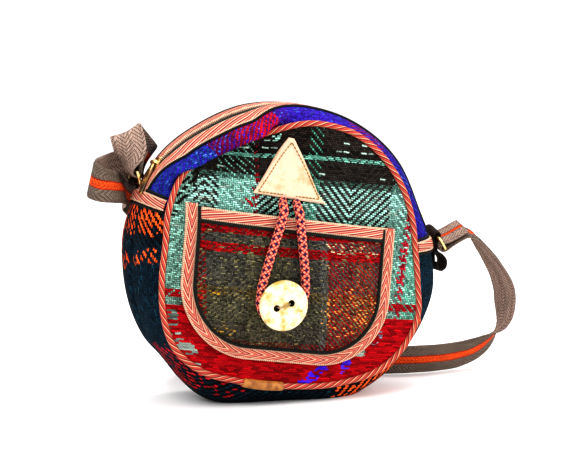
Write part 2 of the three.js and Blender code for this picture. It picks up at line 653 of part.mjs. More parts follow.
// Zip between its two braids, and the braids across the gusset where the crown ends
const sideHalf = THREE.MathUtils.radToDeg(BRAID_W / 2 / 112);
const zipSpan = [RIGHT_JOIN_DEG + sideHalf + 2 * JOIN, LEFT_JOIN_DEG - sideHalf - 2 * JOIN];
const zipFront = [zipStart + SLIT, zipStart + ZIP_BRAID_SHARE / 2, 0.5 - ZIP_SHARE - SLIT];
const zipBack = zipFront.map((t) => 1 - t).reverse();
add("zip_braid_front", gussetBand(...zipSpan, 24, zipFront, ZIP_RAISE - CLOTH, ZIP_RAISE), finish.braid);
add("zip_braid_back", gussetBand(...zipSpan, 24, zipBack, ZIP_RAISE - CLOTH, ZIP_RAISE), finish.braid);
add(
  "zip_chain",
  gussetBand(...zipSpan, 24, [0.5 - ZIP_SHARE + SLIT, 0.5 + ZIP_SHARE - SLIT], CHAIN_SINK - CLOTH, -CHAIN_SINK),
  finish.zip,
);
const SIDE_LIFT = 0.7; // clears the facets of the wool under it
const sideDepths = [0.02, 0.08, 0.16, 0.26, 0.38, 0.5, 0.62, 0.74, 0.84, 0.92, 0.98];
for (const [name, deg] of [["side_braid_left", LEFT_JOIN_DEG], ["side_braid_right", RIGHT_JOIN_DEG]]) {
  add(name, gussetBand(deg - sideHalf, deg + sideHalf, 3, sideDepths, SIDE_LIFT, SIDE_LIFT + BRAID_T), finish.braid);
}

// Leather tab over the joint of the front piping
const TAB_FROM_DEG = 246.5;
const TAB_TO_DEG = 265;
const tabSteps = 5;
const tabArc = [-80, -48, -16, 16, 48, 80];
const coverPiping = (r) => (i, j) => {
  const deg = lerp(TAB_FROM_DEG, TAB_TO_DEG, i / tabSteps);
  const s = frontSeam(deg);
  const a = rad(-90 + tabArc[j]);
  return polar(deg, s.r + r * Math.cos(a), s.y + r * Math.sin(a));
};
add(
  "piping_tab",
  slab(tabSteps + 1, tabArc.length, coverPiping(PIPING_R + GAP + 1.1), coverPiping(PIPING_R + GAP)),
  finish.tan,
);

// Pocket: half width at a height, then the panel, the edge braid round it and the braid along its mouth
const pocketMid = (POCKET_LEFT + POCKET_RIGHT) / 2;
const pocketHalf = (POCKET_RIGHT - POCKET_LEFT) / 2;
const onPocket = (u, v, off) => onFront(u - POCKET_SKEW * (v - POCKET_SKEW_V), v, off);
/** Outline point of the pocket, drawn in by `inset`, at a share s from the top left to the top right. */
function pocketEdge(s, inset) {
  const r = POCKET_CORNER - inset;
  const half = pocketHalf - inset;
  const bottom = POCKET_BOTTOM + inset;
  const side = POCKET_TOP - (bottom + r);
  const flat = 2 * (half - r);
  const arc = (Math.PI / 2) * r;
  const [ear, rightEar] = POCKET_EARS;
  const total = 2 * side + ear + rightEar + flat + 2 * arc;
  let d = s * total;
  if (d <= side + ear) return [pocketMid - half, POCKET_TOP + ear - d];
  d -= side + ear;
  if (d <= arc) {
    const a = Math.PI + d / r;
    return [pocketMid - half + r + r * Math.cos(a), bottom + r + r * Math.sin(a)];
  }
  d -= arc;
  if (d <= flat) return [pocketMid - half + r + d, bottom];
  d -= flat;
  if (d <= arc) {
    const a = 1.5 * Math.PI + d / r;
    return [pocketMid + half - r + r * Math.cos(a), bottom + r + r * Math.sin(a)];
  }
  d -= arc;
  return [pocketMid + half, bottom + r + d];
}

const EDGE_OFF = 3 * GAP + CLOTH; // sewn edge of the pocket above the front panel
/** How far the pocket stands off the front panel. */
function pocketOff(u, v) {
  const inset = BRAID_W + 2 * GAP;
  const r = POCKET_CORNER - inset;
  const half = pocketHalf - inset;
  const bottom = POCKET_BOTTOM + inset;
  const du = Math.abs(u - pocketMid);
  const dv = v - (bottom + r);
  const dist = dv > 0 || du < half - r ? Math.min(half - du, v - bottom) : r - Math.hypot(du - (half - r), dv);
  const k = THREE.MathUtils.smoothstep(clamp(dist, 0, 30), 0, 30);
  return EDGE_OFF + POCKET_LIFT * Math.sqrt(k);
}

const mouthLow = POCKET_TOP - BRAID_W;
const pocketRows = 11;
const pocketCols = 15;
function pocketPoint(i, j) {
  const inset = BRAID_W + 2 * GAP;
  const r = POCKET_CORNER - inset;
  const half = pocketHalf - inset;
  const bottom = POCKET_BOTTOM + inset;
  const v = lerp(mouthLow - GAP, bottom, Math.sin((Math.PI / 2) * (i / (pocketRows - 1))) ** 1.15);
  const dv = Math.min(v - (bottom + r), 0);
  const h = half - r + Math.sqrt(Math.max(r * r - dv * dv, 0));
  const s = Math.sin((Math.PI / 2) * ((2 * j) / (pocketCols - 1) - 1));
  const u = pocketMid + h * s;
  return [u, v];
}
add(
  "pocket_panel",
  slab(
    pocketRows,
    pocketCols,
    (i, j) => onPocket(...pocketPoint(i, j), pocketOff(...pocketPoint(i, j))),
    (i, j) => onPocket(...pocketPoint(i, j), pocketOff(...pocketPoint(i, j)) - CLOTH),
  ),
  finish.wool("#55463a"),
);
const edgeSteps = 40;
const edgeBraid = (off) => (i, j) => {
  const [u, v] = pocketEdge(i / edgeSteps, j ? BRAID_W : 0);
  return onPocket(u, v, off);
};
add("pocket_edge_braid", slab(edgeSteps + 1, 2, edgeBraid(EDGE_OFF), edgeBraid(EDGE_OFF - BRAID_T)), finish.braid);
const mouthHalf = pocketHalf - BRAID_W - GAP;
const mouthSteps = 16;
const mouthBraid = (extra) => (i, j) => {
  const s = Math.sin((Math.PI / 2) * ((2 * i) / mouthSteps - 1));
  const u = pocketMid + mouthHalf * s;
  const v = lerp(mouthLow, POCKET_TOP, j);
  return onPocket(u, v, pocketOff(u, mouthLow) + extra);
};
add("pocket_mouth_braid", slab(mouthSteps + 1, 2, mouthBraid(MOUTH_PROUD), mouthBraid(GAP - CLOTH)), finish.braid);

// Leather triangle that holds the loop
const PATCH = [
  { u: -38.6, v: 42.2 },
  { u: 16.6, v: 40.2 },
  { u: 9.6, v: 46.5 },
  { u: -11.6, v: 83.6 },
  { u: -15, v: 83.9 },
];
const patchRows = 7;
const patchPoint = (i, j) => {
  const t = i / (patchRows - 1);
  const left = [lerp(PATCH[0].u, PATCH[4].u, t), lerp(PATCH[0].v, PATCH[4].v, t)];
  const k = t * 1.15;
  const right =
    k < 0.15
      ? [lerp(PATCH[1].u, PATCH[2].u, k / 0.15), lerp(PATCH[1].v, PATCH[2].v, k / 0.15)]
      : [lerp(PATCH[2].u, PATCH[3].u, k - 0.15), lerp(PATCH[2].v, PATCH[3].v, k - 0.15)];
  return [lerp(left[0], right[0], j / 4), lerp(left[1], right[1], j / 4)];
};
const patchLift = (u, v) => 3 * GAP + 0.5 * Math.exp(-(((u + 13) / 9) ** 2) - ((v - 42) / 7) ** 2);
add(
  "leather_patch",
  slab(
    patchRows,
    5,
    (i, j) => onFront(...patchPoint(i, j), patchLift(...patchPoint(i, j)) + PATCH_T),
    (i, j) => onFront(...patchPoint(i, j), patchLift(...patchPoint(i, j))),
  ),
  finish.leather,
);

// Loop cord: a tube along its route
class Route extends THREE.Curve {
  constructor(points) {
    super();
    this.inner = new THREE.CatmullRomCurve3(points, false, "centripetal");
  }
  getPoint(t, target) {
    return this.inner.getPoint(t, target);
  }
}
function tube(points, radius, steps) {
  const shape = new THREE.Shape();
  for (let k = 0; k < 8; k += 1) {
    const a = (Math.PI * k) / 4;
    const [x, y] = [radius * Math.cos(a), radius * Math.sin(a)];
    if (k === 0) shape.moveTo(x, y);
    else shape.lineTo(x, y);
  }
  shape.closePath();
  const g = new THREE.ExtrudeGeometry(shape, { steps, extrudePath: new Route(points), bevelEnabled: false });
  return g.index ? g.toNonIndexed() : g;
}
add("loop_cord", tube(LOOP.map((q) => onFront(q.u, q.v, q.off)), LOOP_R, 32), finish.braid);

// Button with two holes, and the thread that sews it to the pocket
const buttonAt = { u: -11.6, v: -32.6 };
const buttonTop = onFront(buttonAt.u, buttonAt.v, BUTTON_OFF);
const lean = rad(-LEAN_DEG);
const toButton = new THREE.Matrix4()
  .makeTranslation(buttonTop.x, buttonTop.y, buttonTop.z)
  .multiply(new THREE.Matrix4().makeRotationY(lean));
const disc = new THREE.LatheGeometry(
  [
    [0, -BUTTON_T],
    [BUTTON_R * 0.55, -BUTTON_T],
    [BUTTON_R - 1.2, -BUTTON_T + 1],
    [BUTTON_R, -BUTTON_T / 2],
    [BUTTON_R - 0.7, -0.3],
    [BUTTON_R - 1.6, 0],
    [0, -0.5],
  ].map(([x, y]) => new THREE.Vector2(x, y)),
  26,
);
const holeTurn = rad(24);
const holeAt = (side) => [
  (side * BUTTON_HOLE_GAP * Math.cos(holeTurn)) / 2,
  (side * BUTTON_HOLE_GAP * Math.sin(holeTurn)) / 2,
];
let button = placed(disc, new THREE.Matrix4().makeRotationX(Math.PI));
for (const side of [-1, 1]) {
  const [x, z] = holeAt(side);
  const hole = new THREE.CylinderGeometry(BUTTON_HOLE_R, BUTTON_HOLE_R, 3 * BUTTON_T, 12);
  button = button.subtract(placed(hole, move(x, BUTTON_T / 2, z)));
}
add("button", toGeometry(button).applyMatrix4(toButton), finish.bone);
const threadR = 0.8;
const backOff = onFront(buttonAt.u, buttonAt.v, pocketOff(buttonAt.u, buttonAt.v) + GAP).y - buttonTop.y;
const [hx, hz] = holeAt(1);
const threadRoute = [
  V(-hx, backOff, -hz),
  V(-hx, BUTTON_T / 2, -hz),
  V(-hx, 0.4, -hz),
  V(-hx * 0.78, -0.9, -hz * 0.78),
  V(0, -1.1, 0),
  V(hx * 0.78, -0.9, hz * 0.78),
  V(hx, 0.4, hz),
  V(hx, BUTTON_T / 2, hz),
  V(hx, backOff, hz),
].map((p) => p.applyMatrix4(toButton));
add("button_thread", tube(threadRoute, threadR, 16), finish.leather);

// Rings, their tabs and the strap
const leftBarDepth = (LEFT_RING.y + BODY_DEPTH / 2) / BODY_DEPTH;
const leftBar = onGusset(LEFT_RING.deg, leftBarDepth, LEFT_RING.lift);
leftBar.y = LEFT_RING.y;
const leftUpper = V(UPPER_BAR.x * CARRY, LEFT_RING.y, UPPER_BAR.z * CARRY);
const leftUp = leftUpper.clone().sub(leftBar);
add(
  "ring_left",
  wireRing(leftBar.clone().add(leftUpper).multiplyScalar(0.5), V(0, -1, 0), leftUp.clone().normalize(), RING_L, leftUp.length()),
  finish.brass,
);
const rightAlong = V(0, -1, -RIGHT_BAR_DIP).normalize();
const rightUp = V(RIGHT_RING.upX - RIGHT_RING.x, 0, RIGHT_RING.upZ - RIGHT_RING.z).multiplyScalar(CARRY);
rightUp.addScaledVector(rightAlong, -rightUp.dot(rightAlong));
const rightCentre = V(RIGHT_RING.x * CARRY, 0, RIGHT_RING.z * CARRY).addScaledVector(rightUp, 0.5);
add("ring_right", wireRing(rightCentre, rightAlong, rightUp.clone().normalize(), RING_L, rightUp.length()), finish.brass);

const tangent = onGusset(LEFT_RING.deg + 0.5, leftBarDepth, 0).sub(onGusset(LEFT_RING.deg - 0.5, leftBarDepth, 0)).normalize();
const leftOut = V(-tangent.z, 0, tangent.x).normalize();
if (leftOut.x > 0) leftOut.negate();
const leftFoot = leftBar.clone().addScaledVector(leftOut, -LEFT_RING.lift);
add(
  "ring_tab_left",
  band(
    LEFT_TAB.map((q) => ({
      p: leftFoot.clone().addScaledVector(tangent, q.along).addScaledVector(leftOut, q.lift),
      w: V(0, -1, 0),
    })),
    TAB_W - 3,
    TAB_T - 0.4,
  ),
  finish.dark,
);
add(
  "ring_tab_right",
  band(
    RIGHT_TAB.map((q) => {
      const rise = Math.max(q.z - RIGHT_RING.z, 0);
      const turn = THREE.MathUtils.smoothstep(q.z, RIGHT_RING.z - 4, RIGHT_RING.z + 4);
      return { p: V(q.x * CARRY, -RIGHT_BAR_DIP * rise, q.z * CARRY), w: V(0, -1, -RIGHT_BAR_DIP * turn) };
    }),
    TAB_W,
    TAB_T,
  ),
  finish.dark,
);
add("strap", band(strapRows(STRAP, STRAP_STEP), STRAP_W, STRAP_T), finish.webbing);

// Zip slider with a cross pin, and the pull that swings on it
const pivot = onGusset(SLIDER_DEG, 0.5, PIVOT_LIFT);
const tip = onGusset(PULL_TIP_DEG, 0.385, TIP_LIFT);
const down = tip.clone().sub(pivot);
const pullLength = down.length();
down.normalize();
const outward = onGusset(SLIDER_DEG, 0.5, 1).sub(onGusset(SLIDER_DEG, 0.5, 0));
const hingeAxis = down.clone().cross(outward).normalize();
const plateOut = hingeAxis.clone().cross(down).normalize();
const alongPull = frameAt(pivot, hingeAxis, down, plateOut);
const across = (r, length, seg) => new THREE.CylinderGeometry(r, r, length, seg).rotateZ(Math.PI / 2);
const lugGap = PULL_W + 2 * GAP;
const lugT = 0.9;
let slider = placed(new THREE.BoxGeometry(7.4, 9.6, 1.3), move(0, 0.4, -2.55));
for (const side of [-1, 1]) {
  slider = slider.add(placed(new THREE.BoxGeometry(lugT, 2.2, 3), move((side * (lugGap + lugT)) / 2, 0, -0.6)));
}
slider = slider.add(placed(across(PIN_R, lugGap + 2 * lugT - 0.1, 10), move(0, 0, 0)));
add("zip_slider", toGeometry(slider).applyMatrix4(alongPull), finish.brass);
let pull = placed(across(KNUCKLE_R, PULL_W, 14), move(0, 0, 0));
const bar = new THREE.Shape();
bar.moveTo(-PULL_W / 2 + 0.5, 0.9);
bar.lineTo(PULL_W / 2 - 0.5, 0.9);
bar.lineTo(PULL_W / 2, pullLength * 0.7);
bar.lineTo(PULL_W / 2 - 0.6, pullLength);
bar.lineTo(-PULL_W / 2 + 0.6, pullLength);
bar.lineTo(-PULL_W / 2, pullLength * 0.7);
bar.closePath();
pull = pull.add(placed(new THREE.ExtrudeGeometry(bar, { depth: PULL_T, bevelEnabled: false }), move(0, 0, -PULL_T / 2)));
pull = pull.subtract(placed(across(PIN_R + GAP, PULL_W + 2, 10), move(0, 0, 0)));
add("zip_pull", toGeometry(pull).applyMatrix4(alongPull), finish.brass);

export default bag;
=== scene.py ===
"""Looks of a round wool crossbody bag: cloth, braids, leather, button, strap, floor and light."""

import json
import logging
from dataclasses import dataclass
from enum import Enum

import bpy
import numpy as np
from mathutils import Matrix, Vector

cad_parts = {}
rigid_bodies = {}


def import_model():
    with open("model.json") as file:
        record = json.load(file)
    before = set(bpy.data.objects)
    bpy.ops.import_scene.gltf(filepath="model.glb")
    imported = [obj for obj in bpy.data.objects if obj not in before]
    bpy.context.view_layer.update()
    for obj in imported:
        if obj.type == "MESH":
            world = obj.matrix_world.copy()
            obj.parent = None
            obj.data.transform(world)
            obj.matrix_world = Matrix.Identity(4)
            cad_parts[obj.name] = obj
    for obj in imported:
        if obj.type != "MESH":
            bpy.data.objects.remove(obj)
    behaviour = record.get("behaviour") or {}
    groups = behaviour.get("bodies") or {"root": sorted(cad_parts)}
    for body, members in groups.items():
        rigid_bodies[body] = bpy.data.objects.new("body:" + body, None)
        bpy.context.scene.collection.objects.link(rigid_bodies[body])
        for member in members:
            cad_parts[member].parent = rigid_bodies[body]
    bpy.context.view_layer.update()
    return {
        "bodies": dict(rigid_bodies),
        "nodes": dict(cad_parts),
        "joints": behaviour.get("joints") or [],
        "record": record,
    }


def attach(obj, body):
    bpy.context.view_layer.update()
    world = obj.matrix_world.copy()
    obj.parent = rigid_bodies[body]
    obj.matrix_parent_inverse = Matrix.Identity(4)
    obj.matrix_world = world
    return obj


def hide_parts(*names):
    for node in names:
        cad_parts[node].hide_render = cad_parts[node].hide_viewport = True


Array = np.ndarray
Socket = bpy.types.NodeSocket
LOG = logging.getLogger("bag")
MM = 0.001
CLOTH_UV = "cloth"
DYE_AND_SHADE = "dye_and_shade"

# Sizes in millimetres; every mesh is scaled to metres when it is made.
SEAM_R = 96.0  # nominal radius of the round panels at their seams
HALF_DEPTH = 38.0  # front or back seam plane from the middle of the bag
CENTRE_Z = 108.0
LEAN = np.radians(-8.5)  # the bag has rolled clockwise on its round bottom
CLOTH = 2.0  # thickness of the wool
GAP = 0.3  # between pieces that are sewn together
PIPING_R = 2.2
FRONT_DOME = 7.0
BACK_DOME = 6.0
GUSSET_BULGE = 16.0
DENT_SINK = 8.4  # the dent in the upper left seam: pushed back, drawn in, and creased beside it
DENT_PINCH = 5.0
DENT_CREASE = 5.0
DENT_START = (78.0, 106.0)
DENT_END = (134.0, 164.0)
LEFT_JOIN = 157.0  # degrees where the zipped crown meets the lower gusset
RIGHT_JOIN = 1.0
BRAID_W = 8.6
BRAID_T = 1.6
ZIP_SHARE = 0.03  # half the zip's chain, one zip braid and the gap beside it, of the gusset's depth
ZIP_BRAID_SHARE = 0.105
SLIT = 0.0035
JOIN = 0.09  # gap at each join, in degrees
JOIN_R = 112.0  # distance of the side joins from the middle of the panels
BRAID_HALF_DEG = np.degrees(BRAID_W / 2 / JOIN_R)
COIL_EDGES = (0.468, 0.532)  # the zip tapes' inner edges, of the gusset's depth
BAND_LIFTS = (-0.7, -2.0)  # faces of the dark tape under the slit
TAPE_LIFT = 0.7  # underside of the side braids above the wool
GUSSET_PER_DEG = 1.9  # millimetres of the gusset's cloth for a degree round the bag
GUSSET_DEPTH = 72.0
UNDER_SHIFT = 200.0  # added to the second cloth coordinate of a webbing's underside

# The pocket in the bag's own leaning frame, measured from the panels' centre.
POCKET_LEFT, POCKET_RIGHT = -82.0, 76.4
POCKET_TOP, POCKET_BOTTOM = 28.4, -75.6
POCKET_CORNER = 52.0
POCKET_SKEW, POCKET_SKEW_V = 0.06, -25.0  # sag to the left with the height above this one
POCKET_LIFT = 6.0  # fullness of the wool off the panel
POCKET_EARS = (1.6, 0.0)  # rise of the edge braid's left and right ends
POCKET_MID = (POCKET_LEFT + POCKET_RIGHT) / 2
POCKET_HALF = (POCKET_RIGHT - POCKET_LEFT) / 2
EDGE_OFF = 3 * GAP + CLOTH  # outer face of the edge braid above the panel
WOOL_INSET = BRAID_W + 2 * GAP  # from the pocket's outline to its wool
MOUTH_LOW = POCKET_TOP - BRAID_W

# Outline round the bag: degrees (0 right, 90 top), front and back seam radius as shares of SEAM_R,
# and the swelling between them as a share of GUSSET_BULGE.
OUTLINE = np.array(
    [
        (0, 0.99, 1.0, 1.5), (15, 0.992, 1.0, 1.02), (35, 1.01, 1.01, 0.88),
        (60, 1.027, 1.01, 0.62), (80, 1.003, 1.01, 0.6), (100, 0.985, 1.02, 0.72),
        (120, 1.005, 1.02, 0.7), (140, 1.085, 1.03, 0.68), (157, 1.04, 1.052, 0.66),
        (172, 0.996, 1.078, 0.62), (188, 1.026, 1.083, 0.6), (200, 1.073, 1.099, 0.55),
        (212, 1.115, 1.12, 0.4), (221, 1.11, 1.115, 0.38), (232, 1.071, 1.083, 0.8),
        (244, 1.009, 1.02, 1.32), (268, 0.977, 0.979, 1.08), (291, 1.051, 1.042, 1.36),
        (307, 1.135, 1.115, 1.06), (320, 1.161, 1.135, 0.85), (333, 1.135, 1.115, 1.1),
        (346, 1.042, 1.052, 1.6),
    ]
)
# Roll of the crown's cloth over the dent: share of the gusset's depth, shift outward, shift forward.
ROLL_OVER = np.array(
    [
        (0, 0, 0), (0.03, 2.5, 5), (0.06, -2.6, 10.1), (0.09, -6.6, 13.5), (0.12, -9.1, 17.8),
        (0.155, -8.5, 22.3), (0.19, -6.7, 23.5), (0.24, -5.5, 22), (0.3, -5.7, 19.7),
        (0.365, -5.6, 16.6), (0.47, -1.3, 11.3), (0.53, -0.1, 9.6), (0.635, 0.9, 6.6),
        (0.8, 0.5, 3.9), (1, 0, 0),
    ]
)


def smoothstep(x: Array, low: float, high: float) -> Array:
    """Smooth ramp from 0 at low to 1 at high: k squared times (3 - 2k)."""
    k = np.clip((x - low) / (high - low), 0.0, 1.0)
    return k * k * (3 - 2 * k)


def column(table: Array, col: int, t: Array, period: float = 0.0) -> Array:
    """Smooth curve through one column of a table.

    Cubic Hermite pieces; the slope at each row is that of the line through its two neighbours.

    Args:
        table: rows with the running value in column 0.
        col: the column to read.
        t: places along the running value.
        period: length after which the table repeats, or 0 for an open table.

    Returns:
        The column's value at each place.
    """
    key, val = table[:, 0], table[:, col]
    if period:
        key = np.concatenate([key[-2:] - period, key, key[:2] + period])
        val = np.concatenate([val[-2:], val, val[:2]])
        x = np.mod(t - table[0, 0], period) + table[0, 0]
    else:
        key = np.concatenate([key[:1], key, key[-1:]])
        val = np.concatenate([val[:1], val, val[-1:]])
        x = np.clip(t, table[0, 0], table[-1, 0])
    i = np.clip(np.searchsorted(key, x, side="right") - 1, 1, len(key) - 3)
    h = key[i + 1] - key[i]
    s = np.clip((x - key[i]) / h, 0.0, 1.0)
    m0 = (val[i + 1] - val[i - 1]) / (key[i + 1] - key[i - 1]) * h
    m1 = (val[i + 2] - val[i]) / (key[i + 2] - key[i]) * h
    s2, s3 = s * s, s * s * s
    start, end = (2 * s3 - 3 * s2 + 1) * val[i], (3 * s2 - 2 * s3) * val[i + 1]
    return start + (s3 - 2 * s2 + s) * m0 + end + (s3 - s2) * m1


def dent(deg: Array) -> Array:
    """Weight of the upper left dent at an angle, 0 to 1."""
    a = np.mod(deg, 360.0)
    return smoothstep(a, *DENT_START) * (1 - smoothstep(a, *DENT_END))


def front_seam(deg: Array) -> tuple[Array, Array]:
    """Radius and depth of the front seam at an angle."""
    w = dent(deg)
    return SEAM_R * column(OUTLINE, 1, deg, 360.0) - DENT_PINCH * w, -HALF_DEPTH + DENT_SINK * w


def back_seam(deg: Array) -> tuple[Array, Array]:
    """Radius and depth of the back seam at an angle."""
    r = SEAM_R * column(OUTLINE, 2, deg, 360.0)
    return r, np.full_like(r, HALF_DEPTH)


def polar(deg: Array, r: Array, y: Array) -> Array:
    """Points at an angle and radius about the panels' centre, at a depth."""
    a = np.radians(deg)
    return np.stack(np.broadcast_arrays(r * np.cos(a), y, CENTRE_Z + r * np.sin(a)), axis=-1)


def gusset_face(deg: Array, t: Array) -> Array:
    """Outer face of the gusset at an angle and a share t of its depth, front to back.

    A straight line between the seams, swollen by 1 - |2t - 1| to the power 2.6, and rolled over the
    dent; nothing is below the floor.

    Args:
        deg: angle round the bag in degrees.
        t: share of the depth.

    Returns:
        Points in millimetres.
    """
    (fr, fy), (br, by) = front_seam(deg), back_seam(deg)
    w = dent(deg)
    edge = PIPING_R + 3 * GAP
    swell = GUSSET_BULGE * column(OUTLINE, 3, deg, 360.0) * (1 - np.abs(2 * t - 1) ** 2.6)
    r = fr + (br - fr) * t + 0.6 + swell + w**4 * column(ROLL_OVER, 1, t)
    y = (fy + edge) + (by - fy - 2 * edge) * t - w * column(ROLL_OVER, 2, t)
    p = polar(deg, r, y)
    p[..., 2] = np.maximum(p[..., 2], 0.0)
    return p


def unit(v: Array) -> Array:
    """Vectors scaled to length 1."""
    return v / np.maximum(np.linalg.norm(v, axis=-1, keepdims=True), 1e-9)


def on_gusset(deg: Array, t: Array, lift: Array | float) -> Array:
    """Points `lift` above the gusset's outer face, along its normal.

    Args:
        deg: angle round the bag in degrees.
        t: share of the depth.
        lift: distance outward, or inward where negative.

    Returns:
        Points in millimetres, none below the floor.
    """
    deg, t = np.broadcast_arrays(deg, t)
    turn, reach = 0.4, 0.004
    a = gusset_face(deg + turn, t) - gusset_face(deg - turn, t)
    b = gusset_face(deg, np.minimum(t + reach, 1)) - gusset_face(deg, np.maximum(t - reach, 0))
    lift = np.broadcast_to(lift, deg.shape)
    p = gusset_face(deg, t) + unit(np.cross(b, a)) * lift[..., None]
    p[..., 2] = np.maximum(p[..., 2], np.where(lift < 0, np.minimum(-lift, CLOTH), 0.0))
    return p


def front_face(deg: Array, rho: Array) -> Array:
    """Depth of the front panel's outer face at an angle and a share of the radius."""
    w = dent(deg)
    crease = DENT_CREASE * np.exp(-(((rho - 0.9) / 0.08) ** 2)) * w * w
    return -HALF_DEPTH - FRONT_DOME * (1 - rho**2.2) + DENT_SINK * w * smoothstep(rho, 0.55, 1) + crease


def on_front(u: Array, v: Array, off: Array | float) -> Array:
    """A place on the front in the bag's own leaning frame, `off` in front of the panel.

    Args:
        u: place across, in the leaning frame.
        v: place up, from the panel's centre.
        off: distance in front of the panel.

    Returns:
        Points in millimetres.
    """
    x = u * np.cos(LEAN) - v * np.sin(LEAN)
    z = u * np.sin(LEAN) + v * np.cos(LEAN)
    deg = np.degrees(np.arctan2(z, x))
    rho = np.minimum(np.hypot(x, z) / (front_seam(deg)[0] - PIPING_R - GAP), 1.0)
    return np.stack(np.broadcast_arrays(x, front_face(deg, rho) - off, CENTRE_Z + z), axis=-1)


def on_pocket(u: Array, v: Array, off: Array | float) -> Array:
    """A place on the front that sags to the right as the pocket does."""
    return on_front(u - POCKET_SKEW * (v - POCKET_SKEW_V), v, off)


def pocket_shape(inset: Array | float) -> tuple[Array, Array, Array]:
    """Corner radius, half width and bottom of the pocket's outline, drawn in by `inset`."""
    return POCKET_CORNER - inset, POCKET_HALF - inset, POCKET_BOTTOM + inset


def pocket_off(u: Array, v: Array) -> Array:
    """How far the pocket stands off the front panel: fuller with the distance from its sewn edge.

    Args:
        u: place across.
        v: place up.

    Returns:
        Distance from the front panel to the pocket's outer face.
    """
    r, half, bottom = pocket_shape(WOOL_INSET)
    du = np.abs(u - POCKET_MID)
    dv = v - (bottom + r)
    straight = np.minimum(half - du, v - bottom)
    rounded = r - np.hypot(du - (half - r), dv)
    dist = np.where((dv > 0) | (du < half - r), straight, rounded)
    return EDGE_OFF + POCKET_LIFT * np.sqrt(smoothstep(np.clip(dist, 0, 30), 0, 30))


def linear(text: str) -> tuple[float, float, float, float]:
    """Colour written as #rrggbb, as linear light with full alpha."""
    c = np.array([int(text[i : i + 2], 16) for i in (1, 3, 5)]) / 255.0
    c = np.where(c < 0.04045, c / 12.92, ((c + 0.055) / 1.055) ** 2.4)
    return float(c[0]), float(c[1]), float(c[2]), 1.0


def corner_rows(corners: list[Array]) -> Array:
    """Faces as rows of point numbers, from one grid of numbers for each corner."""
    return np.stack([grid.ravel() for grid in np.broadcast_arrays(*corners)], 1)


def make_object(
    name: str,
    points: Array,
    quads: Array,
    uv: Array | None = None,
    uv_ids: Array | None = None,
    caps: list[list[int]] | None = None,
    dye_and_shade: Array | None = None,
    sharp: float = 50.0,
) -> bpy.types.Object:
    """Object at the origin from points in millimetres, turned so that its faces look outward.

    Args:
        name: the piece's name.
        points: N by 3.
        quads: faces as rows of four point numbers.
        uv: places on the cloth in millimetres.
        uv_ids: for each corner of each quad its row in uv; the point numbers by default.
        caps: further faces of any size, without a place on the cloth.
        dye_and_shade: N by 4 colours that recolour single floats of the weave: brocaded marks, and painted
            shade.
        sharp: angle in degrees past which an edge is sharp.

    Returns:
        The new object.
    """
    uv_ids = quads if uv_ids is None else uv_ids
    a, b, c, d = (points[quads[:, k]] for k in range(4))
    volume = np.einsum("ij,ij->", a, np.cross(b, c)) + np.einsum("ij,ij->", a, np.cross(c, d))
    if volume < 0:
        quads, uv_ids = quads[:, ::-1], uv_ids[:, ::-1]
    mesh = bpy.data.meshes.new(name)
    faces = quads.tolist() + [cap[::-1] if volume < 0 else cap for cap in caps or []]
    mesh.from_pydata((points * MM).tolist(), [], faces)
    if uv is not None:
        layer = mesh.uv_layers.new(name=CLOTH_UV)
        flat = np.zeros((len(mesh.loops), 2))
        flat[: quads.size] = uv[uv_ids.ravel()]
        layer.data.foreach_set("uv", flat.ravel())
    if dye_and_shade is not None:
        layer = mesh.attributes.new(DYE_AND_SHADE, "FLOAT_COLOR", "POINT")
        layer.data.foreach_set("color", np.ascontiguousarray(dye_and_shade, dtype=np.float32).ravel())
    mesh.polygons.foreach_set("use_smooth", np.ones(len(mesh.polygons), dtype=bool))
    mesh.set_sharp_from_angle(angle=np.radians(sharp))
    mesh.update()
    obj = bpy.data.objects.new(name, mesh)
    bpy.context.scene.collection.objects.link(obj)
    return obj


def shell(
    name: str,
    outer: Array,
    inner: Array,
    uv: Array,
    ring: bool = False,
    under: float = 0.0,
    dye_and_shade: Array | None = None,
    sharp: float = 50.0,
) -> bpy.types.Object:
    """Closed body between two grids of points.

    Args:
        name: the piece's name.
        outer: rows by columns by 3, millimetres.
        inner: the other face, of the same shape.
        uv: place on the cloth of each grid point; one more row where the rows close in a ring.
        ring: whether the last row joins the first.
        under: shift of the inner face's second cloth coordinate, to tell the faces apart.
        dye_and_shade: rows by columns by 4.
        sharp: angle in degrees past which an edge is sharp.

    Returns:
        The new object.
    """
    m, n = outer.shape[:2]
    size, wide = m * n, uv.shape[0] * n
    last = m if ring else m - 1
    i, j = np.arange(last)[:, None], np.arange(n - 1)[None, :]

    def ids(rows: Array, base: int, edge: int) -> list[Array]:
        """Numbers at the corners of every face: outer, inner and the sides between them.

        Args:
            rows: number of the row that follows each row.
            base: number of the first point.
            edge: shift from an outer point to its inner one.

        Returns:
            Rows of four numbers, side by side.
        """
        here, there = i * n + base, rows * n + base
        e = n - 1
        front = [here + j, here + j + 1, there + j + 1, there + j]
        back = [here + j + edge, there + j + edge, there + j + 1 + edge, here + j + 1 + edge]
        left = [here, there, there + edge, here + edge]
        right = [here + e, here + e + edge, there + e + edge, there + e]
        found = [front, back, left, right]
        if not ring:
            k, z = np.arange(n - 1) + base, (m - 1) * n
            found.append([k, k + edge, k + 1 + edge, k + 1])
            found.append([k + z, k + z + 1, k + z + 1 + edge, k + z + edge])
        return [corner_rows(corners) for corners in found]

    quads = np.concatenate(ids((i + 1) % m, 0, size))
    uv_ids = np.concatenate(ids(i + 1, 0, wide))
    both = np.concatenate([uv.reshape(-1, 2), uv.reshape(-1, 2) + [0.0, under]])
    points = np.concatenate([outer.reshape(-1, 3), inner.reshape(-1, 3)])
    paint = None if dye_and_shade is None else np.concatenate([dye_and_shade.reshape(-1, 4)] * 2)
    return make_object(name, points, quads, both, uv_ids, dye_and_shade=paint, sharp=sharp)


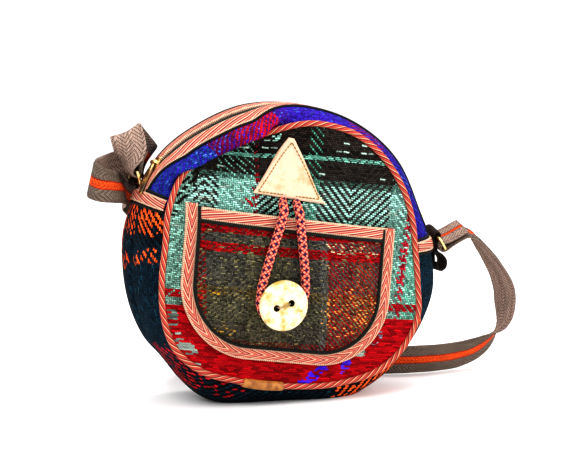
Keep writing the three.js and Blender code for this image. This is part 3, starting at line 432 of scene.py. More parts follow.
def lengths(path: Array, closed: bool = False) -> Array:
    """Distance along a path at each of its points, and once more at the end of a closed one."""
    p = np.vstack([path, path[:1]]) if closed else path
    return np.concatenate([[0.0], np.cumsum(np.linalg.norm(np.diff(p, axis=0), axis=1))])


def tangents(path: Array, closed: bool = False) -> Array:
    """Direction of a path at each of its points."""
    if closed:
        return unit(np.roll(path, -1, axis=0) - np.roll(path, 1, axis=0))
    return unit(np.gradient(path, axis=0))


def frame_along(path: Array, side: Array, closed: bool = False) -> tuple[Array, Array, Array]:
    """Directions along a path, across it nearest to `side`, and square to both."""
    t = tangents(path, closed)
    across = unit(side - t * np.sum(side * t, axis=1, keepdims=True))
    return t, across, np.cross(t, across)


def tube(
    name: str,
    path: Array,
    radius: Array | float,
    reference: Array,
    sides: int = 16,
    closed: bool = False,
) -> bpy.types.Object:
    """Round cord along a path; its cloth places are millimetres along and millimetres around.

    Args:
        name: the piece's name.
        path: points in millimetres.
        radius: one radius, or one for each point.
        reference: direction, or one for each point, from which the places around are counted.
        sides: corners of the section.
        closed: whether the path is a ring.

    Returns:
        The new object.
    """
    m = len(path)
    _, side, up = frame_along(path, np.broadcast_to(reference, path.shape), closed)
    r = np.broadcast_to(radius, (m,))[:, None, None]
    a = 2 * np.pi * np.arange(sides) / sides
    ring = np.cos(a)[None, :, None] * side[:, None] + np.sin(a)[None, :, None] * up[:, None]
    points = (path[:, None] + r * ring).reshape(-1, 3)
    last = m if closed else m - 1
    i, k = np.arange(last)[:, None], np.arange(sides)[None, :]
    there, nxt = (i + 1) % m, (k + 1) % sides
    corners = [i * sides + k, i * sides + nxt, there * sides + nxt, there * sides + k]
    w = sides + 1
    spots = [i * w + k, i * w + k + 1, (i + 1) * w + k + 1, (i + 1) * w + k]
    quads, uv_ids = corner_rows(corners), corner_rows(spots)
    along = lengths(path, closed)
    around = np.arange(w) / sides * 2 * np.pi * float(np.max(radius))
    uv = np.stack(np.meshgrid(along, around, indexing="ij"), -1).reshape(-1, 2)
    caps = None if closed else [list(range(sides)), list(range(m * sides - 1, (m - 1) * sides - 1, -1))]
    return make_object(name, points, quads, uv, uv_ids, caps, sharp=70.0)


def catmull(table: Array, at: Array) -> Array:
    """Centripetal Catmull-Rom curve through points, read at row numbers with fractions.

    Each span is the cubic whose end slopes come from its neighbours, weighted by the square roots of
    the distances between them.

    Args:
        table: rows of points.
        at: row numbers with fractions.

    Returns:
        A point for each row number.
    """
    p = np.vstack([2 * table[0] - table[1], table, 2 * table[-1] - table[-2]])
    i = np.clip(np.floor(at).astype(int), 0, len(table) - 2)
    w = (at - i)[:, None]
    p0, p1, p2, p3 = p[i], p[i + 1], p[i + 2], p[i + 3]
    spans = (p1 - p0, p2 - p1, p3 - p2)
    d0, d1, d2 = (np.sqrt(np.linalg.norm(span, axis=1, keepdims=True)) for span in spans)
    s1 = ((p1 - p0) / d0 - (p2 - p0) / (d0 + d1) + (p2 - p1) / d1) * d1
    s2 = ((p2 - p1) / d1 - (p3 - p1) / (d1 + d2) + (p3 - p2) / d2) * d1
    return p1 + s1 * w + (3 * (p2 - p1) - 2 * s1 - s2) * w**2 + (2 * (p1 - p2) + s1 + s2) * w**3


def even(table: Array, step: float) -> Array:
    """Row numbers with fractions that are about `step` millimetres apart along a table's curve."""
    at = np.linspace(0, len(table) - 1, 24 * (len(table) - 1) + 1)
    along = lengths(catmull(table[:, :3], at))
    return np.interp(np.linspace(0, along[-1], max(int(along[-1] / step), 2) + 1), along, at)


def beads(
    name: str,
    places: Array,
    along: Array,
    out: Array,
    size: tuple[float, float, float],
) -> bpy.types.Object:
    """Many small oval stitches in one piece.

    Each is an ellipsoid of 8 by 6 faces, stretched by size along its thread, across it and outward.

    Args:
        name: the piece's name.
        places: N by 3 centres in millimetres.
        along: N by 3 directions of the thread.
        out: N by 3 directions away from the cloth.
        size: half length, half width and half height.

    Returns:
        The new object.
    """
    lat = np.linspace(-np.pi / 2, np.pi / 2, 7)[1:-1]
    m, rows = 8, len(lat)
    lon = 2 * np.pi * np.arange(m) / m
    x = np.concatenate([[-1.0], np.repeat(np.sin(lat), m), [1.0]])
    y = np.concatenate([[0.0], np.outer(np.cos(lat), np.cos(lon)).ravel(), [0.0]])
    z = np.concatenate([[0.0], np.outer(np.cos(lat), np.sin(lon)).ravel(), [0.0]])
    a = unit(along)
    across = unit(np.cross(out, a))
    up = np.cross(a, across)
    axes = (a * size[0], across * size[1], up * size[2])
    parts = zip((x, y, z), axes, strict=True)
    points = places[:, None] + sum(share[None, :, None] * axis[:, None] for share, axis in parts)
    i, k = np.arange(rows - 1)[:, None], np.arange(m)[None, :]
    nxt = (k + 1) % m
    here, there = 1 + i * m, 1 + (i + 1) * m
    sides = corner_rows([here + k, here + nxt, there + nxt, there + k])
    base = len(x) * np.arange(len(places))
    quads = (sides[None] + base[:, None, None]).reshape(-1, 4)
    k = np.arange(m)
    nxt = (k + 1) % m
    tip, rim = len(x) - 1, len(x) - 1 - m
    low = np.stack([np.zeros(m, int), nxt + 1, k + 1], 1)
    high = np.stack([np.full(m, tip), rim + k, rim + nxt], 1)
    caps = (np.concatenate([low, high])[None] + base[:, None, None]).reshape(-1, 3).tolist()
    return make_object(name, points.reshape(-1, 3), quads, caps=caps)


def marks(u: Array, v: Array, table: list[tuple]) -> Array:
    """Dye of brocaded marks, and of painted shade, on a cloth: colour, and in alpha the share of floats that
    take it.

    Each row of the table is an ellipse: middle u and v, half length, half width, turn in degrees,
    colour, strength. A later row covers an earlier one.

    Args:
        u: place across the cloth.
        v: place up the cloth.
        table: the marks.

    Returns:
        Colour and alpha for each place.
    """
    dye_and_shade = np.zeros((*u.shape, 4))
    for mu, mv, long, wide, turn, colour, strength in table:
        c, s = np.cos(np.radians(turn)), np.sin(np.radians(turn))
        x, y = (u - mu) * c + (v - mv) * s, (v - mv) * c - (u - mu) * s
        k = 1 - smoothstep(np.hypot(x / long, y / wide), 0.8, 1.15)
        before = dye_and_shade[..., 3].copy()
        inside = k > before * 0.5
        dye_and_shade[inside, :3] = linear(colour)[:3]
        kept = np.where(k > 0.5, 0, before)
        dye_and_shade[..., 3] = np.where(inside, np.maximum(k * strength, kept), before)
    return dye_and_shade


class Nodes:
    """Short ways to add shader nodes to one tree."""

    def __init__(self, tree: bpy.types.NodeTree) -> None:
        """Keep the tree."""
        self.tree = tree

    def put(self, socket: Socket, value: object) -> None:
        """Link a socket to another one, or give it a constant."""
        if isinstance(value, Socket):
            self.tree.links.new(value, socket)
        else:
            socket.default_value = value

    def node(self, kind: str, **settings: object) -> bpy.types.Node:
        """New node with its settings."""
        made = self.tree.nodes.new(kind)
        for key, value in settings.items():
            setattr(made, key, value)
        return made

    def math(self, operation: str, a: object, b: object = 0.0, c: object = 0.0) -> Socket:
        """Result of a sum on up to three numbers.

        Args:
            operation: the sum's name.
            a: first number or socket.
            b: second.
            c: third.

        Returns:
            The result's socket.
        """
        made = self.node("ShaderNodeMath", operation=operation)
        for socket, value in zip(made.inputs, (a, b, c), strict=False):
            self.put(socket, value)
        return made.outputs[0]

    def blend(self, factor: object, a: object, b: object, how: str = "MIX") -> Socket:
        """Two colours mixed by a factor.

        Args:
            factor: share of b.
            a: first colour.
            b: second colour.
            how: the way of mixing.

        Returns:
            The mixed colour's socket.
        """
        made = self.node("ShaderNodeMix", data_type="RGBA", blend_type=how)
        for k, value in ((0, factor), (6, a), (7, b)):
            self.put(made.inputs[k], value)
        return made.outputs[2]

    def number(self, factor: object, a: object, b: object) -> Socket:
        """Two numbers mixed by a factor."""
        return self.math("MULTIPLY_ADD", factor, self.math("SUBTRACT", b, a), a)

    def xyz(self, vector: Socket) -> tuple[Socket, Socket, Socket]:
        """The three numbers of a vector."""
        made = self.node("ShaderNodeSeparateXYZ")
        self.put(made.inputs[0], vector)
        return made.outputs[0], made.outputs[1], made.outputs[2]

    def vector(self, x: object, y: object, z: object = 0.0) -> Socket:
        """A vector of three numbers."""
        made = self.node("ShaderNodeCombineXYZ")
        for socket, value in zip(made.inputs, (x, y, z), strict=True):
            self.put(socket, value)
        return made.outputs[0]

    def scaled(self, vector: Socket, factor: float) -> Socket:
        """A vector times a number."""
        made = self.node("ShaderNodeVectorMath", operation="SCALE")
        self.put(made.inputs[0], vector)
        self.put(made.inputs["Scale"], factor)
        return made.outputs[0]

    def divided(self, vector: Socket, size: Socket) -> Socket:
        """A vector divided by a number."""
        made = self.node("ShaderNodeVectorMath", operation="DIVIDE")
        self.put(made.inputs[0], vector)
        self.put(made.inputs[1], self.vector(size, size, size))
        return made.outputs[0]

    def noise(self, vector: object, scale: float, detail: float = 2.0, rough: float = 0.5) -> Socket:
        """Soft noise, about 0.3 to 0.7.

        Args:
            vector: place.
            scale: waves for a unit of length.
            detail: number of finer layers.
            rough: strength of the finer layers.

        Returns:
            The noise's socket.
        """
        made = self.node("ShaderNodeTexNoise")
        self.put(made.inputs["Vector"], vector)
        made.inputs["Scale"].default_value = scale
        made.inputs["Detail"].default_value = detail
        made.inputs["Roughness"].default_value = rough
        return made.outputs[0]

    def chance(self, x: object, y: object, z: object = 0.0) -> Socket:
        """Even random number, 0 to 1, for each triple of whole numbers."""
        made = self.node("ShaderNodeTexWhiteNoise", noise_dimensions="3D")
        self.put(made.inputs["Vector"], self.vector(x, y, z))
        return made.outputs["Value"]

    def ramp(self, value: Socket, rows: list[tuple], smooth: bool = False) -> tuple[Socket, Socket]:
        """Colour and alpha for a number, from rows of position, colour and alpha.

        Args:
            value: number from 0 to 1.
            rows: position, colour and alpha.
            smooth: whether the colours run into each other.

        Returns:
            Sockets of colour and alpha.
        """
        made = self.node("ShaderNodeValToRGB")
        made.color_ramp.interpolation = "LINEAR" if smooth else "CONSTANT"
        elements = made.color_ramp.elements
        while len(elements) < len(rows):
            elements.new(0.5)
        for element, (position, colour, alpha) in zip(elements, rows, strict=True):
            element.position = position
            element.color = (*linear(colour)[:3], alpha)
        self.put(made.inputs[0], value)
        return made.outputs[0], made.outputs[1]

    def place(self) -> Socket:
        """Place on the cloth, in millimetres."""
        return self.node("ShaderNodeUVMap", uv_map=CLOTH_UV).outputs[0]

    def inside(self) -> Socket:
        """Place in the object, in millimetres."""
        return self.scaled(self.node("ShaderNodeTexCoord").outputs["Object"], 1000.0)

    def group(self, tree: bpy.types.NodeTree, **values: object) -> bpy.types.Node:
        """A node group with values for its named sockets (a space written as _).

        Args:
            tree: the group.
            **values: a value for each named socket.

        Returns:
            The node.
        """
        made = self.node("ShaderNodeGroup", node_tree=tree)
        for key, value in values.items():
            self.put(made.inputs[key.replace("_", " ")], value)
        return made

    def surface(self, colour: Socket, rough: object, height: object, depth: float, **more: object) -> None:
        """Finish a material: one Principled shader with a bump of `depth` millimetres.

        Args:
            colour: base colour.
            rough: roughness.
            height: relief, 0 to 1.
            depth: millimetres that a height of 1 stands up.
            **more: values of further sockets.
        """
        shader = self.node("ShaderNodeBsdfPrincipled")
        bump = self.node("ShaderNodeBump")
        bump.inputs["Strength"].default_value = 1.0
        bump.inputs["Distance"].default_value = depth * MM
        self.put(bump.inputs["Height"], height)
        self.put(shader.inputs["Normal"], bump.outputs[0])
        self.put(shader.inputs["Base Color"], colour)
        self.put(shader.inputs["Roughness"], rough)
        for key, value in more.items():
            self.put(shader.inputs[key.replace("_", " ")], value)
        output = self.node("ShaderNodeOutputMaterial")
        self.put(output.inputs[0], shader.outputs[0])


def new_group(
    name: str,
    inputs: list[tuple],
    outputs: list[tuple],
) -> tuple[bpy.types.NodeTree, Nodes, dict, dict]:
    """Empty node group with named sockets.

    Args:
        name: the group's name.
        inputs: rows of socket name, kind (Float, Color or Vector) and default.
        outputs: rows of socket name and kind.

    Returns:
        The tree, its Nodes, and its input and output sockets by name.
    """
    tree = bpy.data.node_groups.new(name, "ShaderNodeTree")
    for label, kind, value in inputs:
        socket = tree.interface.new_socket(label, in_out="INPUT", socket_type=f"NodeSocket{kind}")
        if value is not None:
            socket.default_value = value
    for label, kind in outputs:
        tree.interface.new_socket(label, in_out="OUTPUT", socket_type=f"NodeSocket{kind}")
    nodes = Nodes(tree)
    source, sink = nodes.node("NodeGroupInput"), nodes.node("NodeGroupOutput")
    return tree, nodes, {s.name: s for s in source.outputs}, {s.name: s for s in sink.inputs}


def new_material(name: str) -> tuple[bpy.types.Material, Nodes]:
    """Empty material and its Nodes.

    Args:
        name: the material's name.

    Returns:
        The material and the Nodes of its tree.
    """
    material = bpy.data.materials.new(name)
    material.use_nodes = True
    material.node_tree.nodes.clear()
    return material, Nodes(material.node_tree)


class Effects:
    """The shader node groups that several materials share, built once."""

    def __init__(self) -> None:
        """Build every group."""
        self.twill = self._twill()
        self.tape = self._tape()
        self.cord = self._cord()
        self.mottle = self._mottle()

    def _twill(self) -> bpy.types.NodeTree:
        """Twill of coarse wool: which yarn is on top, each float's own tone, its relief, and painted shade
        in the grooves between floats.

        Warp yarns run along Y and weft yarns along X. A float's number is the whole part of a
        quarter of the two yarn numbers' sum, and the warp is on top in its first share. Where almost
        no warp shows, the weft is felted and evens out.

        Returns:
            The group.
        """
        tree, n, got, out = new_group(
            "Twill",
            [
                ("Place", "Vector", None),
                ("Pitch", "Float", 1.6),
                ("Warp", "Color", (0.02, 0.02, 0.02, 1)),
                ("Weft", "Color", (0.2, 0.4, 0.3, 1)),
                ("Warp Share", "Float", 0.5),
                ("Point", "Float", 1000.0),
                ("Slub", "Float", 0.5),
                ("Fleck", "Color", (0.5, 0.5, 0.4, 1)),
                ("Fleck Share", "Float", 0.1),
                ("Dye", "Color", (0.5, 0.1, 0.02, 1)),
                ("Dye Amount", "Float", 0.0),
            ],
            [("Color", "Color"), ("Height", "Float")],
        )
        wobble = n.noise(got["Place"], 0.22, 1.0)
        x, y, _ = n.xyz(got["Place"])
        x = n.math("DIVIDE", n.math("MULTIPLY_ADD", wobble, 1.6, x), got["Pitch"])
        y = n.math("DIVIDE", n.math("MULTIPLY_ADD", wobble, -1.6, y), got["Pitch"])
        i, j = n.math("FLOOR", x), n.math("FLOOR", y)
        fx, fy = n.math("FRACT", x), n.math("FRACT", y)
        run = n.math("MULTIPLY", n.math("ADD", n.math("PINGPONG", i, got["Point"]), j), 0.25)
        number, phase = n.math("FLOOR", run), n.math("FRACT", run)
        warp_up = n.math("LESS_THAN", n.math("ADD", phase, 0.01), got["Warp Share"])
        yarn = n.number(warp_up, j, n.math("ADD", i, 50.5))
        shade = n.chance(number, yarn, 1.0)
        other = n.chance(number, yarn, 7.0)
        third = n.chance(number, yarn, 13.0)
        weft = n.blend(n.math("LESS_THAN", third, got["Fleck Share"]), got["Weft"], got["Fleck"])
        # The dye_and_shade colour takes some weft floats: brocaded marks, and on the front panel painted
        # shade.
        weft = n.blend(n.math("LESS_THAN", other, got["Dye Amount"]), weft, got["Dye"])
        colour = n.blend(warp_up, weft, got["Warp"])
        half_yarn = n.math("MULTIPLY", n.number(warp_up, fx, fy), 0.5)
        span = n.math("FRACT", n.math("ADD", n.math("MULTIPLY", phase, 2.0), half_yarn))
        ends = n.math("POWER", n.math("SINE", n.math("MULTIPLY", span, np.pi)), 0.5)
        round_ = n.math("SINE", n.math("MULTIPLY", n.number(warp_up, fy, fx), np.pi))
        relief = n.math("MULTIPLY", n.math("POWER", round_, 0.6), n.math("MULTIPLY_ADD", ends, 0.55, 0.45))
        fuzz = n.noise(got["Place"], 2.6, 2.0, 0.6)
        relief = n.math("MULTIPLY_ADD", n.math("SUBTRACT", fuzz, 0.5), 0.6, relief)
        light = n.math("MULTIPLY_ADD", n.math("SUBTRACT", shade, 0.5), got["Slub"], 1.0)
        felted = n.math("MULTIPLY", n.math("LESS_THAN", got["Warp Share"], 0.03), 0.6)
        relief = n.number(felted, relief, n.math("MULTIPLY_ADD", fuzz, 1.6, -0.15))
        # Colour is darkened where the relief is low: painted shade in the grooves between floats, times each
        # float's own random tone.
        depth = n.math("MAXIMUM", n.math("MULTIPLY_ADD", relief, 1.35, -0.08), 0.04)
        light = n.math("MULTIPLY", light, depth)
        grey = n.vector(light, light, light)
        n.put(out["Color"], n.blend(1.0, colour, grey, "MULTIPLY"))
        n.put(out["Height"], relief)
        return tree

    def _tape(self) -> bpy.types.NodeTree:
        """Flat braid of slanting threads, X along it and Y across from its middle.

        The thread number is the whole part of (Y + X times Slant) over the thread's width; with
        Chevron the two halves slant against each other.

        Returns:
            The group.
        """
        tree, n, got, out = new_group(
            "Tape",
            [
                ("Place", "Vector", None),
                ("Half", "Float", 4.3),
                ("Slant", "Float", 0.4),
                ("Chevron", "Float", 0.0),
                ("Thread", "Float", 0.9),
                ("Warmth", "Float", 0.45),
                ("Light", "Color", (0.9, 0.7, 0.4, 1)),
                ("Mid", "Color", (0.8, 0.2, 0.1, 1)),
                ("Deep", "Color", (0.6, 0.05, 0.05, 1)),
            ],
            [("Color", "Color"), ("Height", "Float")],
        )
        x, y, _ = n.xyz(got["Place"])
        wide = n.math("ABSOLUTE", y)
        q = n.number(got["Chevron"], y, wide)
        run = n.math("DIVIDE", n.math("MULTIPLY_ADD", x, got["Slant"], q), got["Thread"])
        number = n.math("FLOOR", run)
        across = n.math("SINE", n.math("MULTIPLY", n.math("FRACT", run), np.pi))
        turn = n.math("FRACT", n.math("MULTIPLY", number, 0.25))
        picked = n.blend(n.math("GREATER_THAN", turn, 0.1), got["Light"], got["Mid"])
        warm = n.blend(got["Warmth"], got["Light"], got["Mid"])
        picked = n.blend(n.math("GREATER_THAN", turn, 0.4), picked, warm)
        picked = n.blend(n.math("GREATER_THAN", turn, 0.6), picked, got["Deep"])
        rim = n.math("GREATER_THAN", wide, n.math("SUBTRACT", got["Half"], 1.1))
        picot = n.math("SINE", n.math("MULTIPLY", x, 4.4))
        picked = n.blend(n.math("MULTIPLY", rim, 0.85), picked, got["Light"])
        fine = n.noise(got["Place"], 3.0, 2.0, 0.6)
        height = n.math("MULTIPLY_ADD", n.math("SUBTRACT", fine, 0.5), 0.5, n.math("POWER", across, 0.8))
        height = n.number(rim, height, n.math("MULTIPLY_ADD", picot, 0.3, 0.6))
        # Low places between threads are darker: painted shade in the grooves, times a random tone for each
        # thread.
        light = n.math("MAXIMUM", n.math("MULTIPLY_ADD", height, 1.0, 0.06), 0.05)
        light = n.math("MULTIPLY", light, n.math("MULTIPLY_ADD", n.chance(number, 3.0), 0.25, 0.86))
        n.put(out["Color"], n.blend(1.0, picked, n.vector(light, light, light), "MULTIPLY"))
        n.put(out["Height"], height)
        return tree

    def _cord(self) -> bpy.types.NodeTree:
        """Round braid: two sets of threads that turn opposite ways and cross over and under.

        X is along the cord and Y around it. Where the two thread numbers add up to an even number
        the first set is on top. Threads are pale along their middle, and every second one of the
        second set is dark.

        Returns:
            The group.
        """
        tree, n, got, out = new_group(
            "Round braid",
            [
                ("Place", "Vector", None),
                ("Long", "Float", 2.85),
                ("Wide", "Float", 3.456),
                ("First", "Color", (0.9, 0.2, 0.1, 1)),
                ("Pale", "Color", (0.9, 0.7, 0.5, 1)),
                ("Second", "Color", (0.8, 0.1, 0.1, 1)),
                ("Dark", "Color", (0.05, 0.02, 0.1, 1)),
            ],
            [("Color", "Color"), ("Height", "Float")],
        )
        x, y, _ = n.xyz(got["Place"])
        u, v = n.math("DIVIDE", x, got["Long"]), n.math("DIVIDE", y, got["Wide"])
        a, b = n.math("ADD", v, u), n.math("SUBTRACT", v, u)
        i, j = n.math("FLOOR", a), n.math("FLOOR", b)
        fa, fb = n.math("FRACT", a), n.math("FRACT", b)
        over, odd = (
            n.math("GREATER_THAN", n.math("FRACT", n.math("MULTIPLY", whole, 0.5)), 0.25)
            for whole in (n.math("ADD", i, j), j)
        )
        sa = n.math("SINE", n.math("MULTIPLY", fa, np.pi))
        sb = n.math("SINE", n.math("MULTIPLY", fb, np.pi))
        first = n.blend(n.math("LESS_THAN", sa, 0.6), got["Pale"], got["First"])
        second = n.blend(n.math("LESS_THAN", sb, 0.75), got["Pale"], got["Second"])
        second = n.blend(odd, second, got["Dark"])
        height = n.math("POWER", n.math("MULTIPLY", sa, sb), 0.45)
        threads = n.math("SINE", n.math("MULTIPLY", n.number(over, a, b), 19.0))
        height = n.math("MULTIPLY_ADD", threads, 0.06, height)
        # Colour darkens with the relief: painted shade where the threads dip under each other.
        light = n.math("MULTIPLY_ADD", height, 0.62, 0.42)
        picked = n.blend(over, first, second)
        n.put(out["Color"], n.blend(1.0, picked, n.vector(light, light, light), "MULTIPLY"))
        n.put(out["Height"], height)
        return tree

    def _mottle(self) -> bpy.types.NodeTree:
        """Uneven stain and fine grain of leather, bone or worn metal, from a place in millimetres.

        Returns:
            The group.
        """
        tree, n, got, out = new_group(
            "Mottle",
            [
                ("Place", "Vector", None),
                ("Size", "Float", 8.0),
                ("Grain", "Float", 1.2),
                ("Cut", "Float", 0.5),
            ],
            [("Stain", "Float"), ("Height", "Float")],
        )
        soft = n.noise(n.divided(got["Place"], got["Size"]), 1.0, 4.0, 0.62)
        past = n.math("MAXIMUM", n.math("SUBTRACT", soft, got["Cut"]), 0.0)
        stain = n.math("SMOOTH_MIN", n.math("MULTIPLY", past, 6.0), 1.0, 0.2)
        cells = n.node("ShaderNodeTexVoronoi", feature="F1")
        n.put(cells.inputs["Vector"], n.divided(got["Place"], got["Grain"]))
        cells.inputs["Scale"].default_value = 1.0
        n.put(out["Stain"], stain)
        n.put(out["Height"], n.math("MULTIPLY_ADD", soft, 0.8, cells.outputs["Distance"]))
        return tree


@dataclass(frozen=True)
class Bands:
    """Stripes along one cloth coordinate: from, to, and rows of start, colour and share."""

    low: float
    high: float
    rows: tuple[tuple[float, str, float], ...]

    def read(self, nodes: Nodes, value: Socket, smooth: bool = False) -> tuple[Socket, Socket]:
        """Colour and share at a place.

        Args:
            nodes: nodes of the material.
            value: the cloth coordinate.
            smooth: whether the stripes run into each other.

        Returns:
            Sockets of colour and share.
        """
        span = self.high - self.low
        at = nodes.math("DIVIDE", nodes.math("SUBTRACT", value, self.low), span)
        rows = [((start - self.low) / span, colour, share) for start, colour, share in self.rows]
        return nodes.ramp(at, rows, smooth)


@dataclass(frozen=True)
class Wool:
    """Woven wool: warp and weft stripes, yarn pitch in millimetres, flecks, herringbone turn."""

    name: str
    warp: Bands
    weft: Bands
    pitch: float = 1.6
    fleck: str = "#8c8a80"
    flecks: float = 0.06
    slub: float = 0.7
    point: float = 1000.0
    relief: float = 0.7

    def material(self, effects: Effects) -> bpy.types.Material:
        """Build the material.

        Args:
            effects: the shared groups.

        Returns:
            The material.
        """
        material, n = new_material(self.name)
        place = n.place()
        x, y, _ = n.xyz(place)
        warp, warp_share = self.warp.read(n, n.math("SNAP", x, self.pitch))
        weft, weft_share = self.weft.read(n, n.math("SNAP", y, self.pitch))
        # Vertex colour that recolours floats: brocaded marks, and on the front panel painted shade under the
        # crown's roll.
        dye_and_shade = n.node("ShaderNodeAttribute", attribute_name=DYE_AND_SHADE)
        share = n.math("MULTIPLY", n.math("MULTIPLY", warp_share, weft_share), 0.5)
        twill = n.group(
            effects.twill,
            Place=place,
            Pitch=self.pitch,
            Warp=warp,
            Weft=weft,
            Warp_Share=share,
            Point=self.point,
            Slub=self.slub,
            Fleck=linear(self.fleck),
            Fleck_Share=n.math("MULTIPLY", share, 2.0 * self.flecks),
            Dye=dye_and_shade.outputs["Color"],
            Dye_Amount=dye_and_shade.outputs["Alpha"],
        )
        cloud = n.math("MULTIPLY_ADD", n.noise(place, 0.06, 3.0), 0.5, 0.75)
        colour = n.blend(1.0, twill.outputs["Color"], n.vector(cloud, cloud, cloud), "MULTIPLY")
        n.surface(colour, 0.95, twill.outputs["Height"], self.relief, Specular_IOR_Level=0.12)
        return material


@dataclass(frozen=True)
class Braid:
    """Flat braid or corded seam in three thread colours."""

    name: str
    half: float = 4.3
    slant: float = 0.36
    chevron: float = 0.0
    thread: float = 0.8
    warmth: float = 0.62
    light: str = "#e9c8b2"
    mid: str = "#cf4a47"
    deep: str = "#8f1a2a"

    def material(self, effects: Effects) -> bpy.types.Material:
        """Build the material.

        Args:
            effects: the shared groups.

        Returns:
            The material.
        """
        material, n = new_material(self.name)
        tape = n.group(
            effects.tape,
            Place=n.place(),
            Half=self.half,
            Slant=self.slant,
            Chevron=self.chevron,
            Thread=self.thread,
            Warmth=self.warmth,
            Light=linear(self.light),
            Mid=linear(self.mid),
            Deep=linear(self.deep),
        )
        n.surface(tape.outputs["Color"], 0.75, tape.outputs["Height"], 0.35, Specular_IOR_Level=0.2)
        return material


@dataclass(frozen=True)
class RoundBraid:
    """Round braided cord in four thread colours."""

    name: str
    first: str = "#d8443a"
    light: str = "#ea937a"
    second: str = "#cf3638"
    dot: str = "#3a1244"

    def material(self, effects: Effects) -> bpy.types.Material:
        """Build the material.

        Args:
            effects: the shared groups.

        Returns:
            The material.
        """
        material, n = new_material(self.name)
        cord = n.group(
            effects.cord,
            Place=n.place(),
            First=linear(self.first),
            Pale=linear(self.light),
            Second=linear(self.second),
            Dark=linear(self.dot),
        )
        n.surface(cord.outputs["Color"], 0.65, cord.outputs["Height"], 0.9, Specular_IOR_Level=0.25)
        return material


@dataclass(frozen=True)
class Webbing:
    """Herringbone webbing; with a stripe it carries one along the middle of its upper face.

    The stripe has a deeper rim. From `turned` millimetres on, where the end is sewn back, a narrower
    one shows on the underside too.
    """

    name: str
    light: str = "#a68f82"
    dark: str = "#5b463e"
    face: str = "#75675c"
    stripe: str = ""
    deep: str = "#9c2b14"
    weft: str = "#453a33"
    half: float = 3.4
    half_under: float = 1.9
    rim: float = 0.9
    turned: float = 1030.0
    pitch: float = 0.75

    def material(self, effects: Effects) -> bpy.types.Material:
        """Build the material.

        Args:
            effects: the shared groups.

        Returns:
            The material.
        """
        material, n = new_material(self.name)
        x, y, _ = n.xyz(n.place())
        swapped = n.vector(y, x)
        warp, weft = linear(self.light), linear(self.dark)
        if self.stripe:
            under = n.math("GREATER_THAN", y, UNDER_SHIFT / 2)
            middle = n.math("ABSOLUTE", n.math("MULTIPLY_ADD", under, -UNDER_SHIFT, y))
            face = n.math("SUBTRACT", 1.0, under)
            striped = n.math("MAXIMUM", face, n.math("GREATER_THAN", x, self.turned))
            warp = n.blend(face, warp, linear(self.face))
            weft = n.blend(face, weft, linear(self.weft))
            half = n.math("MULTIPLY_ADD", under, self.half_under - self.half, self.half)
            on = n.math("MULTIPLY", n.math("LESS_THAN", middle, half), striped)
            rim = n.math("SUBTRACT", half, self.rim)
            edge = n.math("MULTIPLY", n.math("GREATER_THAN", middle, rim), on)
            warp = n.blend(edge, n.blend(on, warp, linear(self.stripe)), linear(self.deep))
            weft = n.blend(n.math("MULTIPLY", on, 0.8), weft, linear(self.deep))
        twill = n.group(
            effects.twill,
            Place=swapped,
            Pitch=self.pitch,
            Warp=warp,
            Weft=weft,
            Warp_Share=0.76 if self.stripe else 0.5,
            Point=8.0,
            Slub=0.35,
            Fleck=weft,
            Fleck_Share=0.0,
        )
        stretched = n.vector(n.math("MULTIPLY", x, 0.06), n.math("MULTIPLY", y, 0.9))
        streaks = n.noise(stretched, 0.5, 4.0, 0.6)
        worn = n.math("MULTIPLY_ADD", streaks, 1.5, 0.4)
        colour = n.blend(1.0, twill.outputs["Color"], n.vector(worn, worn, worn), "MULTIPLY")
        n.surface(colour, 0.85, twill.outputs["Height"], 0.3, Specular_IOR_Level=0.2)
        return material


@dataclass(frozen=True)
class Smooth:
    """Leather, bone, thread or metal, and the painted shade in the button's holes: a base colour, stained
    and grained.
    """

    name: str
    base: str
    stain: str
    size: float = 9.0
    cut: float = 0.5
    grain: float = 0.9
    rough: float = 0.5
    metal: float = 0.0
    relief: float = 0.12

    def material(self, effects: Effects) -> bpy.types.Material:
        """Build the material.

        Args:
            effects: the shared groups.

        Returns:
            The material.
        """
        material, n = new_material(self.name)
        place = n.inside()
        mottle = n.group(effects.mottle, Place=place, Size=self.size, Grain=self.grain, Cut=self.cut)
        colour = n.blend(mottle.outputs["Stain"], linear(self.base), linear(self.stain))
        rough = n.math("MULTIPLY_ADD", mottle.outputs["Stain"], 0.12, self.rough)
        n.surface(colour, rough, mottle.outputs["Height"], self.relief, Metallic=self.metal)
        return material


class Slot(Enum):
    """Material slots of the record."""

    FRONT = "front_wool"
    BACK = "back_wool"
    LOWER = "lower_wool"
    CROWN = "crown_wool"
    POCKET = "pocket_wool"
    PIPING = "piping_braid"
    CORAL = "coral_braid"
    LOOP = "loop_braid"
    ZIP = "zip_coil"
    TAN = "tan_leather"
    CREAM = "cream_leather"
    BONE = "bone"
    THREAD = "sewing_thread"
    BRASS = "brass"
    DARK = "dark_webbing"
    STRAP = "strap_webbing"


FRONT_WOOL = Wool(
    "front_wool",
    Bands(
        -115,
        115,
        (
            (-115, "#15120f", 1), (-101, "#6a8a7c", 1), (-80, "#35322e", 1), (-63, "#6f9f90", 1),
            (-38.5, "#7d1820", 1), (-35.5, "#2b2a26", 1), (-29, "#1b1613", 1), (0, "#4a8672", 1),
            (8.5, "#35322e", 1), (67, "#65897e", 1), (83, "#a01e30", 1), (86.5, "#5c9884", 1),
            (100, "#34584e", 1),
        ),
    ),
    Bands(
        -115,
        115,
        (
            (-115, "#a80c18", 0), (-41, "#6f8c80", 0.6), (-35, "#9a101a", 0.3), (-29, "#86b5a6", 1),
            (30, "#93bfb3", 1), (51, "#4c6a60", 1), (55, "#2a2521", 0.5), (69.5, "#6fa897", 0.3),
            (72.8, "#1b1714", 0.5), (78, "#2c2420", 0.5),
        ),
    ),
    pitch=1.42,
    fleck="#93a79c",
    flecks=0.07,
    point=25,
    slub=1.1,
)
